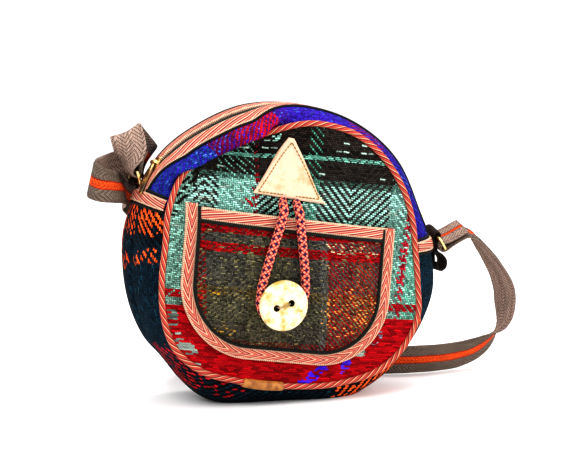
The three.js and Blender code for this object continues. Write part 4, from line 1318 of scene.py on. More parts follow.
POCKET_WOOL = Wool(
    "pocket_wool",
    Bands(
        -95,
        95,
        (
            (-95, "#3c3a34", 1), (-74, "#7a1a1c", 1), (-69, "#45423a", 1), (-40, "#56533f", 1),
            (-8, "#47463f", 1), (11, "#3a3a38", 1), (15, "#5a5a58", 1), (21, "#8c1a1e", 1),
            (42, "#8f2a1c", 1), (60, "#7c1a24", 1),
        ),
    ),
    Bands(
        -95,
        60,
        (
            (-95, "#6e2a22", 1), (-62, "#544d40", 1), (-48, "#57543f", 1), (-30, "#6a5a34", 1),
            (-24, "#514f47", 1), (0.5, "#9c0d15", 0.5), (7, "#4f4d48", 1), (13.5, "#980d15", 0.5),
            (19, "#2c2926", 1),
        ),
    ),
    pitch=0.95,
    fleck="#7f7652",
    flecks=0.1,
    slub=1.3,
)
LOWER_WOOL = Wool(
    "lower_wool",
    Bands(
        290,
        690,
        (
            (290, "#0f0d0d", 1), (303, "#0c0d12", 1), (330, "#0d2433", 1), (415, "#0b1015", 1),
            (622, "#0d2735", 1),
        ),
    ),
    Bands(0, 80, ((0, "#0f2835", 1), (40, "#0c1c28", 1), (64, "#12303c", 1))),
    pitch=1.6,
    fleck="#143a48",
    flecks=0.1,
    slub=1.0,
)
CROWN_WOOL = Wool(
    "crown_wool",
    Bands(
        0,
        300,
        (
            (0, "#241f72", 1), (70, "#431a86", 1), (84, "#8a1458", 1), (118, "#451cae", 1),
            (170, "#5a188e", 1), (180, "#c0142c", 1.2), (200, "#a30f34", 1.4),
            (220, "#6e0a44", 1.5), (241, "#24448c", 1),
        ),
    ),
    Bands(0, 80, ((0, "#3524a4", 1), (26, "#30259a", 1), (58, "#242470", 1))),
    pitch=1.1,
    fleck="#4a66bc",
    flecks=0.12,
    slub=1.1,
)
BACK_WOOL = Wool(
    "back_wool",
    Bands(
        -115,
        115,
        (
            (-115, "#10212c", 1), (-70, "#6f9f90", 1), (-58, "#15120f", 1), (-16, "#a01e30", 1),
            (-10, "#15120f", 1), (30, "#669686", 1), (44, "#15120f", 1), (78, "#10212c", 1),
        ),
    ),
    Bands(
        -115,
        115,
        (
            (-115, "#a01626", 0.4), (-46, "#23201d", 1), (-20, "#86b5a6", 1), (24, "#1c1917", 1),
            (60, "#a3161f", 0.6), (68, "#1c1917", 1),
        ),
    ),
    pitch=1.75,
    point=21,
)

# Brocaded marks, and in FRONT_MARKS painted shade: middle u and v, half length, half width, turn, colour,
# share of the floats.
FRONT_MARKS = [
    # The first two rows are near-black patches at the upper left rim: painted shade under the crown's roll.
    (-88, 46, 24, 11, 62, "#1a1714", 0.8), (-97, 24, 12, 7, 82, "#1f1d19", 0.5),
    (30, -82, 11, 4, 45, "#4a22dc", 0.75), (21, -90, 4, 2.6, 10, "#4a22dc", 0.8),
    (52, -74, 7, 3.4, 65, "#5530d8", 0.8), (60, -65, 5, 3.2, 20, "#9aa69c", 0.7),
    (72, -52, 6, 4, 60, "#8c8a9c", 0.6), (-72, -78, 22, 10, -55, "#8a958c", 0.35),
    (-84, -55, 12, 5, 90, "#6f7d75", 0.45), (-37, 45, 14, 1.8, 80, "#9c1a24", 0.7),
    (-44, 36, 4, 2, 0, "#a01c26", 0.6), (-23, 84, 6, 3, 70, "#9ccfc0", 0.7),
    (84, 10, 36, 3.2, 88, "#a8202e", 0.55), (-5, 34, 5, 4, 0, "#5fa794", 0.6),
]
POCKET_MARKS = [
    (-56, -30, 9, 2, 0, "#c89a30", 0.6), (-50, -58, 12, 6, 0, "#b08c38", 0.3),
    (-30, -20, 26, 30, 0, "#6f6c52", 0.22), (45, -35, 24, 20, 0, "#c98a4a", 0.3),
    (40, 10, 24, 5, 0, "#b8a484", 0.35), (-69, -40, 14, 3, 85, "#b83a20", 0.45),
]
# The same on the lower gusset: u is GUSSET_PER_DEG for a degree, v is from the front edge.
LOWER_MARKS = [
    (313, 14, 11, 15, 0, "#f2652a", 0.9), (313, 44, 13, 16, 0, "#e85a26", 0.7),
    (338, 7, 6, 10, 0, "#e86028", 0.7), (341, 24, 5, 6, 0, "#e86028", 0.6),
    (345, 46, 6, 9, 0, "#d8501f", 0.6), (392, 58, 52, 5, 0, "#8c1420", 0.55),
    (426, 18, 24, 22, 0, "#b81e2a", 0.7), (464, 6, 14, 8, 0, "#a81c26", 0.5),
    (584, 24, 38, 34, 0, "#f2682c", 0.9), (630, 6, 4, 5, 0, "#f2682c", 0.9),
    (500, 52, 60, 12, 0, "#8c1a22", 0.35),
]


@dataclass
class Bench:
    """What every sub-assembly needs: the shared effects and the materials made so far."""

    effects: Effects
    made: dict[str, bpy.types.Material]
    frame: dict

    def finish(self, finish: Wool | Braid | RoundBraid | Webbing | Smooth) -> bpy.types.Material:
        """The material of a finish, built the first time it is asked for."""
        if finish.name not in self.made:
            self.made[finish.name] = finish.material(self.effects)
        return self.made[finish.name]

    def dress(self, obj: bpy.types.Object, finish: object, slot: Slot, *nodes: str) -> None:
        """Give a new piece its material and body, and hide the CAD nodes that it replaces.

        Args:
            obj: the piece.
            finish: what it is made of.
            slot: not used.
            *nodes: the CAD nodes that it replaces.
        """
        obj.data.materials.clear()
        obj.data.materials.append(self.finish(finish))
        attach(obj, "bag")
        if nodes:
            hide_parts(*nodes)
        LOG.info("%s: %d faces", obj.name, len(obj.data.polygons))

    def selvedge(self, name: str, path: Array, radius: float, side: list[float], sides: int = 8) -> None:
        """Black cord beside a braid, with the direction from which its threads are counted."""
        cord = tube(f"selvedge_{name}", path, radius, np.array(side), sides)
        self.dress(cord, BLACK_CORD, Slot.CORAL)


BLACK_CORD = Braid("black_selvedge", 9.0, 0.9, 0.0, 1.0, 0.5, "#2c2d28", "#1d1d1a", "#121211")
SIDE_TAPE = Braid("coral_tape", 4.2, 0.2, 0.0, 0.82, 0.5, "#ebc6a8", "#d4564c", "#9c2430")
EDGE_TAPE = Braid("coral_edge_tape", 4.2, 0.3, 1.0, 0.72, 0.6, "#e8c1a2", "#d65a4c", "#a62e36")
PIPING_BRAID = Braid("piping_braid", 90.0, 0.5, 0.0, 0.86, 0.9, "#e6b48e", "#d44c42", "#8c1a24")
BEIGE_THREAD = Braid("beige_thread", 50, 0.6, 0, 0.5, 0.5, "#d8bc8c", "#c8a87c", "#a5845a")
OCHRE_THREAD = Smooth("ochre_thread", "#7f6414", "#54400c", 1.0)
TAUPE_THREAD = Smooth("taupe_thread", "#6b5246", "#4a372e", 1.0)
COIL = Smooth("zip_coil", "#1a1512", "#2c2420", rough=0.4)
TAN_LEATHER = Smooth("tan_leather", "#a86f30", "#7c4a1c", 5.0, 0.45, 0.7, 0.5)
CREAM_LEATHER = Smooth("cream_leather", "#d0ae95", "#b8946c", 14.0, 0.5, 0.8, 0.6, relief=0.2)
BONE = Smooth("bone", "#decdac", "#b0903f", 6.5, 0.47, 0.6, 0.32, relief=0.03)
# Near-black for the walls of the button's holes: painted shade.
HOLE_SHADE = Smooth("painted_hole_shade", "#120d09", "#1d140c", 3.0, rough=0.9)
BRASS = Smooth("brass", "#e6cf94", "#9c7c3c", 3.0, 0.52, 0.5, 0.24, 1.0, 0.02)
DARK_WEBBING = Webbing("dark_webbing", "#3a2c26", "#1c1512")
STRIPED_WEBBING = Webbing("strap_webbing", stripe="#ea5a1c")


@dataclass
class Body:
    """Round panels and the gusset between them, of thick wool."""

    bench: Bench
    grid: int = 150
    back_grid: int = 110
    around: int = 420

    def build(self) -> None:
        """Build and dress the wool shells."""
        self.front()
        self.back()
        lower = (LEFT_JOIN + JOIN, 360 + RIGHT_JOIN - JOIN)
        self.gusset("wool_lower", lower, (0.0, 1.0), LOWER_WOOL, Slot.LOWER, "lower_gusset")
        low = 0.5 - ZIP_SHARE - ZIP_BRAID_SHARE - SLIT
        crown = (RIGHT_JOIN + JOIN, LEFT_JOIN - JOIN)
        self.gusset("wool_crown_front", crown, (0.0, low), CROWN_WOOL, Slot.CROWN, "upper_gusset_front")
        self.gusset("wool_crown_back", crown, (1 - low, 1.0), CROWN_WOOL, Slot.CROWN, "upper_gusset_back")

    def disc(self, n: int) -> tuple[Array, Array]:
        """Square grid bent to a disc: x times the root of 1 - y squared / 2, and the same for y."""
        s = np.linspace(-1, 1, n)
        a, b = np.meshgrid(s, s, indexing="ij")
        x, z = a * np.sqrt(1 - b * b / 2), b * np.sqrt(1 - a * a / 2)
        return np.degrees(np.arctan2(z, x)), np.minimum(np.hypot(x, z), 1.0)

    def front(self) -> None:
        """Front panel, with the plaid charted in the bag's own leaning frame."""
        deg, rho = self.disc(self.grid)
        r = rho * (front_seam(deg)[0] - PIPING_R - GAP)
        outer = polar(deg, r, front_face(deg, rho))
        x, z = outer[..., 0], outer[..., 2] - CENTRE_Z
        u, v = x * np.cos(LEAN) + z * np.sin(LEAN), z * np.cos(LEAN) - x * np.sin(LEAN)
        # Low waves in the thick cloth, and stripes that rise toward the dent.
        soft = 0.35 * np.sin(u / 9.0 + 1.0) * np.sin(v / 7.0) * (1 - rho**6)
        outer[..., 1] -= soft
        bend = 5 * np.exp(-(((u + 50) / 35) ** 2)) * smoothstep(v, 40, 80)
        uv = np.stack([u, v - 0.03 * u + bend], -1)
        # FRONT_MARKS also darkens the upper left rim: painted shade under the crown's roll.
        obj = shell("wool_front", outer, outer + [0, CLOTH, 0], uv, dye_and_shade=marks(u, v, FRONT_MARKS))
        self.bench.dress(obj, FRONT_WOOL, Slot.FRONT, "front_panel")

    def back(self) -> None:
        """Back panel, a plainer plaid."""
        deg, rho = self.disc(self.back_grid)
        r = rho * (back_seam(deg)[0] - PIPING_R - GAP)
        outer = polar(deg, r, HALF_DEPTH + BACK_DOME * (1 - rho**2.2))
        uv = outer[..., [0, 2]] - [0, CENTRE_Z]
        obj = shell("wool_back", outer, outer - [0, CLOTH, 0], uv, dye_and_shade=marks(uv[..., 0], uv[..., 1], []))
        self.bench.dress(obj, BACK_WOOL, Slot.BACK, "back_panel")

    def gusset(self, name: str, span: tuple, depths: tuple, wool: Wool, slot: Slot, node: str) -> None:
        """A strip of the gusset, softly waved; the lower one has a fold low on the left.

        Args:
            name: the piece's name.
            span: first and last angle in degrees.
            depths: first and last share of the depth.
            wool: its cloth.
            slot: its slot in the record.
            node: the CAD node that it replaces.
        """
        steps = int(self.around * (span[1] - span[0]) / 360) + 2
        cols = int(70 * (depths[1] - depths[0])) + 4
        deg, t = np.meshgrid(np.linspace(*span, steps), np.linspace(*depths, cols), indexing="ij")
        uv = np.stack([deg * GUSSET_PER_DEG, t * GUSSET_DEPTH], -1)
        wave = 0.45 * np.sin(deg / 4.1) * np.sin(np.pi * t) ** 2
        crease = 2.2 * np.exp(-(((t - 0.47) / 0.05) ** 2))
        fold = crease * smoothstep(deg, 166, 178) * (1 - smoothstep(deg, 196, 222))
        dye_and_shade = marks(uv[..., 0], uv[..., 1], LOWER_MARKS if wool is LOWER_WOOL else [])
        lift = wave - fold if wool is LOWER_WOOL else 0.0 * deg
        obj = shell(name, on_gusset(deg, t, lift), on_gusset(deg, t, lift - CLOTH), uv, dye_and_shade=dye_and_shade)
        self.bench.dress(obj, wool, slot, node)


@dataclass
class Seams:
    """Corded seams, the braids across the gusset and the leather tab."""

    bench: Bench
    steps: int = 640

    def build(self) -> None:
        """Build and dress the seams."""
        deg = np.linspace(0, 360, self.steps, endpoint=False)
        for name, seam, node in (
            ("piping_front", front_seam, "front_piping"),
            ("piping_back", back_seam, "back_piping"),
        ):
            r, y = seam(deg)
            path = polar(deg, r, y)
            out = unit(path * [1, 0, 1] - [0, 0, CENTRE_Z])
            obj = tube(name, path, PIPING_R, out, 16, closed=True)
            self.bench.dress(obj, PIPING_BRAID, Slot.PIPING, node)
        for name, middle in (("side_braid_left", LEFT_JOIN), ("side_braid_right", RIGHT_JOIN)):
            t = np.linspace(0.02, 0.98, 90)
            across = np.linspace(-1, 1, 15)
            deg, tt = np.meshgrid(middle + BRAID_HALF_DEG * across, t, indexing="ij")
            crown = 0.7 * (1 - np.abs(across)[:, None] ** 6)
            outer = on_gusset(deg, tt, TAPE_LIFT + 0.9 + crown)
            inner = on_gusset(deg, tt, TAPE_LIFT)
            uv = np.stack([tt * GUSSET_DEPTH, np.broadcast_to(across[:, None] * BRAID_W / 2, deg.shape)], -1)
            obj = shell(f"tape_{name}", outer, inner, uv)
            self.bench.dress(obj, SIDE_TAPE, Slot.CORAL, name)
            for side, label in ((-1, "low"), (1, "high")):
                edge = np.full(len(t), middle + side * (BRAID_HALF_DEG + 0.75))
                self.bench.selvedge(f"{name}_{label}", on_gusset(edge, t, 0.5), 1.0, [0.0, 0.0, 1.0])
        self.tab()

    def tab(self) -> None:
        """Leather tab wrapped over the front cord."""
        rows, around = np.linspace(246.5, 265, 40), np.radians(np.linspace(-170, -10, 24))
        deg, a = np.meshgrid(rows, around, indexing="ij")
        r, y = front_seam(deg)

        def wrap(radius: Array | float) -> Array:
            """Points at a distance from the cord's middle line."""
            return polar(deg, r + radius * np.cos(a), y + radius * np.sin(a))

        ends = np.sin(np.linspace(0, np.pi, len(rows)))[:, None] ** 0.2
        low = PIPING_R + GAP
        outer, inner = wrap(low + 0.3 + 0.8 * ends), wrap(low)
        obj = shell("tab_leather", outer, inner, np.stack([deg, a], -1))
        self.bench.dress(obj, TAN_LEATHER, Slot.TAN, "piping_tab")


@dataclass
class Zip:
    """Tapes, coil and hardware of the zip in the crown."""

    bench: Bench

    def build(self) -> None:
        """Build and dress the zip."""
        inset = BRAID_HALF_DEG + 2 * JOIN
        span = (RIGHT_JOIN + inset, LEFT_JOIN - inset)
        start = 0.5 - ZIP_SHARE - ZIP_BRAID_SHARE + SLIT
        for name, depths, node in (
            ("tape_zip_front", (start, COIL_EDGES[0]), "zip_braid_front"),
            ("tape_zip_back", (COIL_EDGES[1], 1 - start), "zip_braid_back"),
        ):
            self.tape(name, span, depths, node)
        self.chain(span)
        for node in ("zip_slider", "zip_pull"):
            for slot in self.bench.frame["nodes"][node].material_slots:
                slot.material = self.bench.finish(BRASS)

    def tape(self, name: str, span: tuple, depths: tuple, node: str) -> None:
        """Flat braid beside the slit, crowned across, with its black selvedge.

        Args:
            name: the piece's name.
            span: first and last angle in degrees.
            depths: first and last share of the depth.
            node: the CAD node that it replaces.
        """
        across = np.linspace(-1, 1, 13)
        middle, reach = sum(depths) / 2, (depths[1] - depths[0]) / 2
        rows = np.linspace(*span, 300)
        deg, c = np.meshgrid(rows, across, indexing="ij")
        t = middle + reach * c
        lift = TAPE_LIFT + 0.9 * (1 - np.abs(c) ** 4)
        uv = np.stack([deg * GUSSET_PER_DEG, c * 4.2], -1)
        obj = shell(name, on_gusset(deg, t, lift), on_gusset(deg, t, -1.2), uv)
        self.bench.dress(obj, SIDE_TAPE, Slot.CORAL, node)
        edge = depths[0] - 0.014 if depths[0] < 0.5 else depths[1] + 0.014
        path = on_gusset(rows, np.full(len(rows), edge), 0.5)
        self.bench.selvedge(name, path, 1.15, [0.0, 1.0, 0.0])

    def chain(self, span: tuple) -> None:
        """Dark tape under the slit with a spiral coil on it.

        Args:
            span: first and last angle in degrees.
        """
        deg, t = np.meshgrid(np.linspace(*span, 260), np.linspace(*COIL_EDGES, 5), indexing="ij")
        uv = np.stack([deg * GUSSET_PER_DEG, (t - 0.5) * GUSSET_DEPTH], -1)
        obj = shell("zip_band", *(on_gusset(deg, t, lift) for lift in BAND_LIFTS), uv)
        self.bench.dress(obj, BLACK_CORD, Slot.ZIP, "zip_chain")
        turns, steps, wide, high = 190, 9, 0.02, 0.5
        a = np.linspace(0, 2 * np.pi * turns, turns * steps)
        rows = np.linspace(*span, turns * steps)
        path = on_gusset(rows, 0.5 + wide * np.cos(a), -0.1 + high * np.sin(a))
        obj = tube("zip_spiral", path, 0.28, np.array([0.3, 0.9, 0.2]), 5)
        self.bench.dress(obj, COIL, Slot.ZIP)


@dataclass
class Pocket:
    """Front pocket: full wool panel, braid round it and along its mouth."""

    bench: Bench

    def build(self) -> None:
        """Build and dress the pocket."""
        self.panel()
        self.edge()
        self.mouth()

    def panel(self) -> None:
        """Wool of the pocket, fuller away from its seam."""
        r, half, bottom = pocket_shape(WOOL_INSET)
        i, j = np.meshgrid(np.linspace(0, 1, 110), np.linspace(-1, 1, 130), indexing="ij")
        top = MOUTH_LOW - GAP
        v = top + (bottom - top) * np.sin(np.pi / 2 * i) ** 1.15
        dv = np.minimum(v - (bottom + r), 0)
        u = POCKET_MID + (half - r + np.sqrt(np.maximum(r * r - dv * dv, 0))) * np.sin(np.pi / 2 * j)
        soft = 0.4 * np.sin(u / 8.0) * np.sin(v / 6.5 + 0.6) * np.sin(np.pi * i) * np.cos(np.pi / 2 * j)
        off = pocket_off(u, v)
        uv = np.stack([u + 0.105 * v, v - 0.03 * u], -1)
        outer, inner = on_pocket(u, v, off + soft), on_pocket(u, v, off - CLOTH)
        obj = shell("wool_pocket", outer, inner, uv, dye_and_shade=marks(u, v, POCKET_MARKS))
        self.bench.dress(obj, POCKET_WOOL, Slot.POCKET, "pocket_panel")

    def outline(self, s: Array, inset: Array) -> tuple[Array, Array]:
        """Pocket's outline drawn in by `inset`, from the top left round the bottom to the top right.

        Args:
            s: share of the way round.
            inset: distance inward.

        Returns:
            Places across and up the front.
        """
        r, half, bottom = pocket_shape(inset)
        side, flat, arc = POCKET_TOP - (bottom + r), 2 * (half - r), np.pi / 2 * r
        left, right = POCKET_EARS
        total = 2 * side + left + right + flat + 2 * arc
        d = s * total
        d1, d2 = side + left, side + left + arc
        d3, d4 = d2 + flat, d2 + flat + arc
        a, b = np.pi + (d - d1) / r, 1.5 * np.pi + (d - d3) / r
        parts = [d <= d1, d <= d2, d <= d3, d <= d4]
        u = np.select(
            parts,
            [-half + 0 * d, -half + r + r * np.cos(a), -half + r + d - d2, half - r + r * np.cos(b)],
            half + 0 * d,
        )
        v = np.select(
            parts,
            [POCKET_TOP + left - d, bottom + r + r * np.sin(a), bottom + 0 * d, bottom + r + r * np.sin(b)],
            bottom + r + d - d4,
        )
        return POCKET_MID + u, v

    def edge(self) -> None:
        """Braid round the pocket and the black cord on its inner side."""
        s, c = np.meshgrid(np.linspace(0, 1, 420), np.linspace(-1, 1, 13), indexing="ij")
        u, v = self.outline(s, BRAID_W * (c + 1) / 2)
        crown = 0.8 * (1 - np.abs(c) ** 4)
        outer, inner = on_pocket(u, v, EDGE_OFF + crown), on_pocket(u, v, EDGE_OFF - BRAID_T)
        middle = outer[:, 6]
        along = lengths(middle)[:, None] + 0 * c
        obj = shell("tape_pocket_edge", outer, inner, np.stack([along, c * BRAID_W / 2], -1))
        self.bench.dress(obj, EDGE_TAPE, Slot.CORAL, "pocket_edge_braid")
        u, v = self.outline(np.linspace(0.005, 0.995, 420), np.full(420, BRAID_W + 0.9))
        path = on_pocket(u, v, EDGE_OFF + 0.7)
        self.bench.selvedge("pocket_edge", path, 1.25, [0.0, -1.0, 0.0], 10)

    def mouth(self) -> None:
        """Braid along the mouth and the black cord under it."""
        half = POCKET_HALF - BRAID_W - GAP
        s, c = np.meshgrid(np.linspace(-1, 1, 200), np.linspace(-1, 1, 13), indexing="ij")
        u = POCKET_MID + half * np.sin(np.pi / 2 * s)
        v = MOUTH_LOW + (POCKET_TOP - MOUTH_LOW) * (c + 1) / 2
        off = pocket_off(u, np.full_like(u, MOUTH_LOW))
        crown = 0.8 * (1 - np.abs(c) ** 4)
        outer, inner = on_pocket(u, v, off + 0.3 + crown), on_pocket(u, v, off - 1.7)
        obj = shell("tape_pocket_mouth", outer, inner, np.stack([-u, c * BRAID_W / 2], -1))
        self.bench.dress(obj, SIDE_TAPE, Slot.CORAL, "pocket_mouth_braid")
        row = u[:, 0]
        low = np.full_like(row, MOUTH_LOW - 1.0)
        path = on_pocket(row, low, pocket_off(row, low) + 0.4)
        self.bench.selvedge("pocket_mouth", path, 1.3, [0.0, -1.0, 0.0], 10)


# Route of the loop cord in the bag's own frame: across, up, and height above the front panel.
LOOP = np.array(
    [
        (-17.6, 40.8, 4), (-18, 37.4, 6.4), (-18.6, 32.6, 12.2), (-20, 24, 13.6), (-23, 8, 13.2),
        (-26.2, -12, 12.8), (-27.4, -25, 12.7), (-25.4, -37, 12.6), (-11.6, -47, 12.6),
        (2.2, -37, 12.6), (5, -24, 12.7), (3.2, -10, 12.8), (-1.6, 9, 13.2), (-5.4, 24, 13.6),
        (-7, 32.6, 12.2), (-7.4, 37.2, 6.4), (-7.6, 40.5, 4),
    ]
)
PATCH = np.array([(-38.6, 42.2), (16.6, 40.2), (9.6, 46.5), (-11.6, 83.6), (-15.0, 83.9)])
SEAM_CORNERS = np.array([(-35.4, 43.8), (-13.0, 80.6), (10.2, 43.4), (-35.4, 43.8)])
# Section of the button, as radius and depth from its front.
BUTTON_SECTION = np.array(
    [
        (0, 0.5), (5, 0.45), (13.5, 0.12), (15.6, 0.0), (16.6, 0.05), (17.4, 0.4), (17.9, 1.1),
        (18, 1.8), (17.7, 2.6), (16.9, 3.2), (15.6, 3.55), (10, 3.6), (0, 3.6),
    ]
)
# Way of the button's thread, as a share of the holes' distance from the middle, and a depth.
THREAD_WAY = np.array(
    [
        (-0.76, 11), (-0.76, 1.8), (-0.74, 0.4), (-0.58, -0.7), (0, -0.9), (0.58, -0.7),
        (0.74, 0.4), (0.76, 1.8), (0.76, 11),
    ]
)


@dataclass
class Fastening:
    """Leather triangle, loop cord, button and its thread."""

    bench: Bench
    button_u: float = -11.6
    button_v: float = -32.6
    button_lift: float = 20.0
    cord_radius: float = 3.3
    thread_radius: float = 0.65
    hole_radius: float = 2.4
    hole_gap: float = 11.4
    hole_turn: float = 24.0

    def build(self) -> None:
        """Build and dress the fastening."""
        self.loop()
        self.patch()
        self.button()

    def loop(self) -> None:
        """Round braided cord; its ends go under the leather."""
        route = on_front(LOOP[:, 0], LOOP[:, 1], LOOP[:, 2])
        path = catmull(route, even(route, 0.9))
        k = np.linspace(0, 1, len(path))
        radius = self.cord_radius * np.minimum(1.0, 0.72 + np.minimum(k, 1 - k) * 14)
        obj = tube("loop_braid", path, radius, np.array([0.0, -1.0, 0.0]), 24)
        self.bench.dress(obj, RoundBraid("loop_braid"), Slot.LOOP, "loop_cord")

    def patch(self) -> None:
        """Leather triangle with a line of stitches set in from its edge."""
        t = np.linspace(0, 1, 60)[:, None]
        left = PATCH[0] + (PATCH[4] - PATCH[0]) * t
        k = t * 1.15
        low = PATCH[1] + (PATCH[2] - PATCH[1]) * k / 0.15
        high = PATCH[2] + (PATCH[3] - PATCH[2]) * (k - 0.15)
        right = np.where(k < 0.15, low, high)
        c = np.linspace(0, 1, 48)
        place = left[:, None] + (right - left)[:, None] * c[None, :, None]
        u, v = place[..., 0], place[..., 1]
        # The leather bulges over the cord's ends, thins to its edges and is a little crumpled.
        lift = 3 * GAP + 0.5 * np.exp(-(((u + 13) / 9) ** 2) - ((v - 42) / 7) ** 2)
        rim = np.minimum(np.minimum(c, 1 - c)[None, :] * 30, np.minimum(t, 1 - t) * 40)
        crisp = 0.25 * np.sin(u / 3.1 + v / 5.3) * np.sin(v / 3.7)
        outer = on_front(u, v, lift + 0.6 + 0.8 * np.minimum(rim, 1) ** 0.5 + crisp * np.minimum(rim, 1))
        obj = shell("patch_leather", outer, on_front(u, v, lift), place)
        self.bench.dress(obj, CREAM_LEATHER, Slot.CREAM, "leather_patch")
        spots, ways = self.seam()
        off = 3 * GAP + 1.55
        places = on_front(spots[:, 0], spots[:, 1], off)
        ahead = on_front(spots[:, 0] + ways[:, 0], spots[:, 1] + ways[:, 1], off)
        out = np.broadcast_to([0.0, -1.0, 0.0], places.shape)
        thread = beads("patch_stitches", places, ahead - places, out, (1.25, 0.5, 0.4))
        self.bench.dress(thread, OCHRE_THREAD, Slot.THREAD)

    def seam(self) -> tuple[Array, Array]:
        """Stitch middles and directions along the triangle.

        Returns:
            Middles and directions, in rows of two.
        """
        pitch = 2.6
        spots, ways = [], []
        for a, b in zip(SEAM_CORNERS[:-1], SEAM_CORNERS[1:], strict=True):
            count = max(int(np.linalg.norm(b - a) / pitch), 1)
            s = (np.arange(count) + 0.5)[:, None] / count
            spots.append(a + (b - a) * s)
            ways.append(np.broadcast_to(unit(b - a), (count, 2)))
        return np.vstack(spots), np.vstack(ways)

    def button(self) -> None:
        """Turned disc of bone with two holes, sewn on with a thread; the holes' walls are painted near-black
        as shade.
        """
        top = on_front(np.array(self.button_u), np.array(self.button_v), self.button_lift)
        h = np.radians(self.hole_turn)
        hole = self.hole_gap / 2 * np.array([np.cos(h), np.sin(h)])
        steps = 96
        a = 2 * np.pi * np.arange(steps) / steps
        rings = BUTTON_SECTION[1:-1]
        x, z = np.outer(rings[:, 0], np.cos(a)), np.outer(rings[:, 0], np.sin(a))
        disc = np.stack([x, np.repeat(rings[:, 1:], steps, 1), z], -1)
        middles = [[0, BUTTON_SECTION[end, 1], 0] for end in (0, -1)]
        points = np.concatenate([disc.reshape(-1, 3), middles])
        i, k = np.arange(len(rings) - 1)[:, None], np.arange(steps)[None, :]
        nxt = (k + 1) % steps
        here, there = i * steps, (i + 1) * steps
        quads = corner_rows([here + k, here + nxt, there + nxt, there + k])
        size, k = len(rings) * steps, np.arange(steps)
        nxt = (k + 1) % steps
        base = size - steps
        front = np.stack([np.full(steps, size), nxt, k], 1)
        back = np.stack([np.full(steps, size + 1), base + k, base + nxt], 1)
        fans = np.concatenate([front, back]).tolist()
        lean = -LEAN
        turn = np.array([[np.cos(lean), 0, np.sin(lean)], [0, 1, 0], [-np.sin(lean), 0, np.cos(lean)]])
        obj = make_object("button_disc", points @ turn.T + top, quads, caps=fans, sharp=60)
        for side in (-1, 1):
            axis = np.array([side * hole[0], 0.0, side * hole[1]])
            line = np.array([axis + [0, -3, 0], axis + [0, 8, 0]]) @ turn.T + top
            cutter = tube("hole", line, self.hole_radius, np.array([1.0, 0.0, 0.0]), 32)
            cut = obj.modifiers.new("hole", "BOOLEAN")
            cut.operation, cut.solver, cut.object = "DIFFERENCE", "EXACT", cutter
            evaluated = obj.evaluated_get(bpy.context.evaluated_depsgraph_get())
            mesh = bpy.data.meshes.new_from_object(evaluated)
            obj.modifiers.clear()
            obj.data = mesh
            bpy.data.objects.remove(cutter)
        mesh.set_sharp_from_angle(angle=np.radians(40))
        self.bench.dress(obj, BONE, Slot.BONE, "button")
        # The walls of the holes get a near-black material: painted shade inside the holes.
        obj.data.materials.append(self.bench.finish(HOLE_SHADE))
        centre = np.empty(3 * len(mesh.polygons), dtype=np.float32)
        mesh.polygons.foreach_get("center", centre)
        x, _, z = ((centre.reshape(-1, 3) / MM - top) @ turn).T
        wall = np.minimum(*(np.hypot(x - side * hole[0], z - side * hole[1]) for side in (-1, 1)))
        mesh.polygons.foreach_set("material_index", (wall < self.hole_radius + 0.02).astype(np.int32))
        share, depth = THREAD_WAY[:, 0], THREAD_WAY[:, 1]
        route = np.stack([hole[0] * share, depth, hole[1] * share], 1)
        route = catmull(route, np.linspace(0, len(route) - 1, 65)) @ turn.T + top
        thread = tube("button_stitch", route, self.thread_radius, np.array([0.3, 0.0, 1.0]), 10)
        self.bench.dress(thread, BEIGE_THREAD, Slot.THREAD, "button_thread")


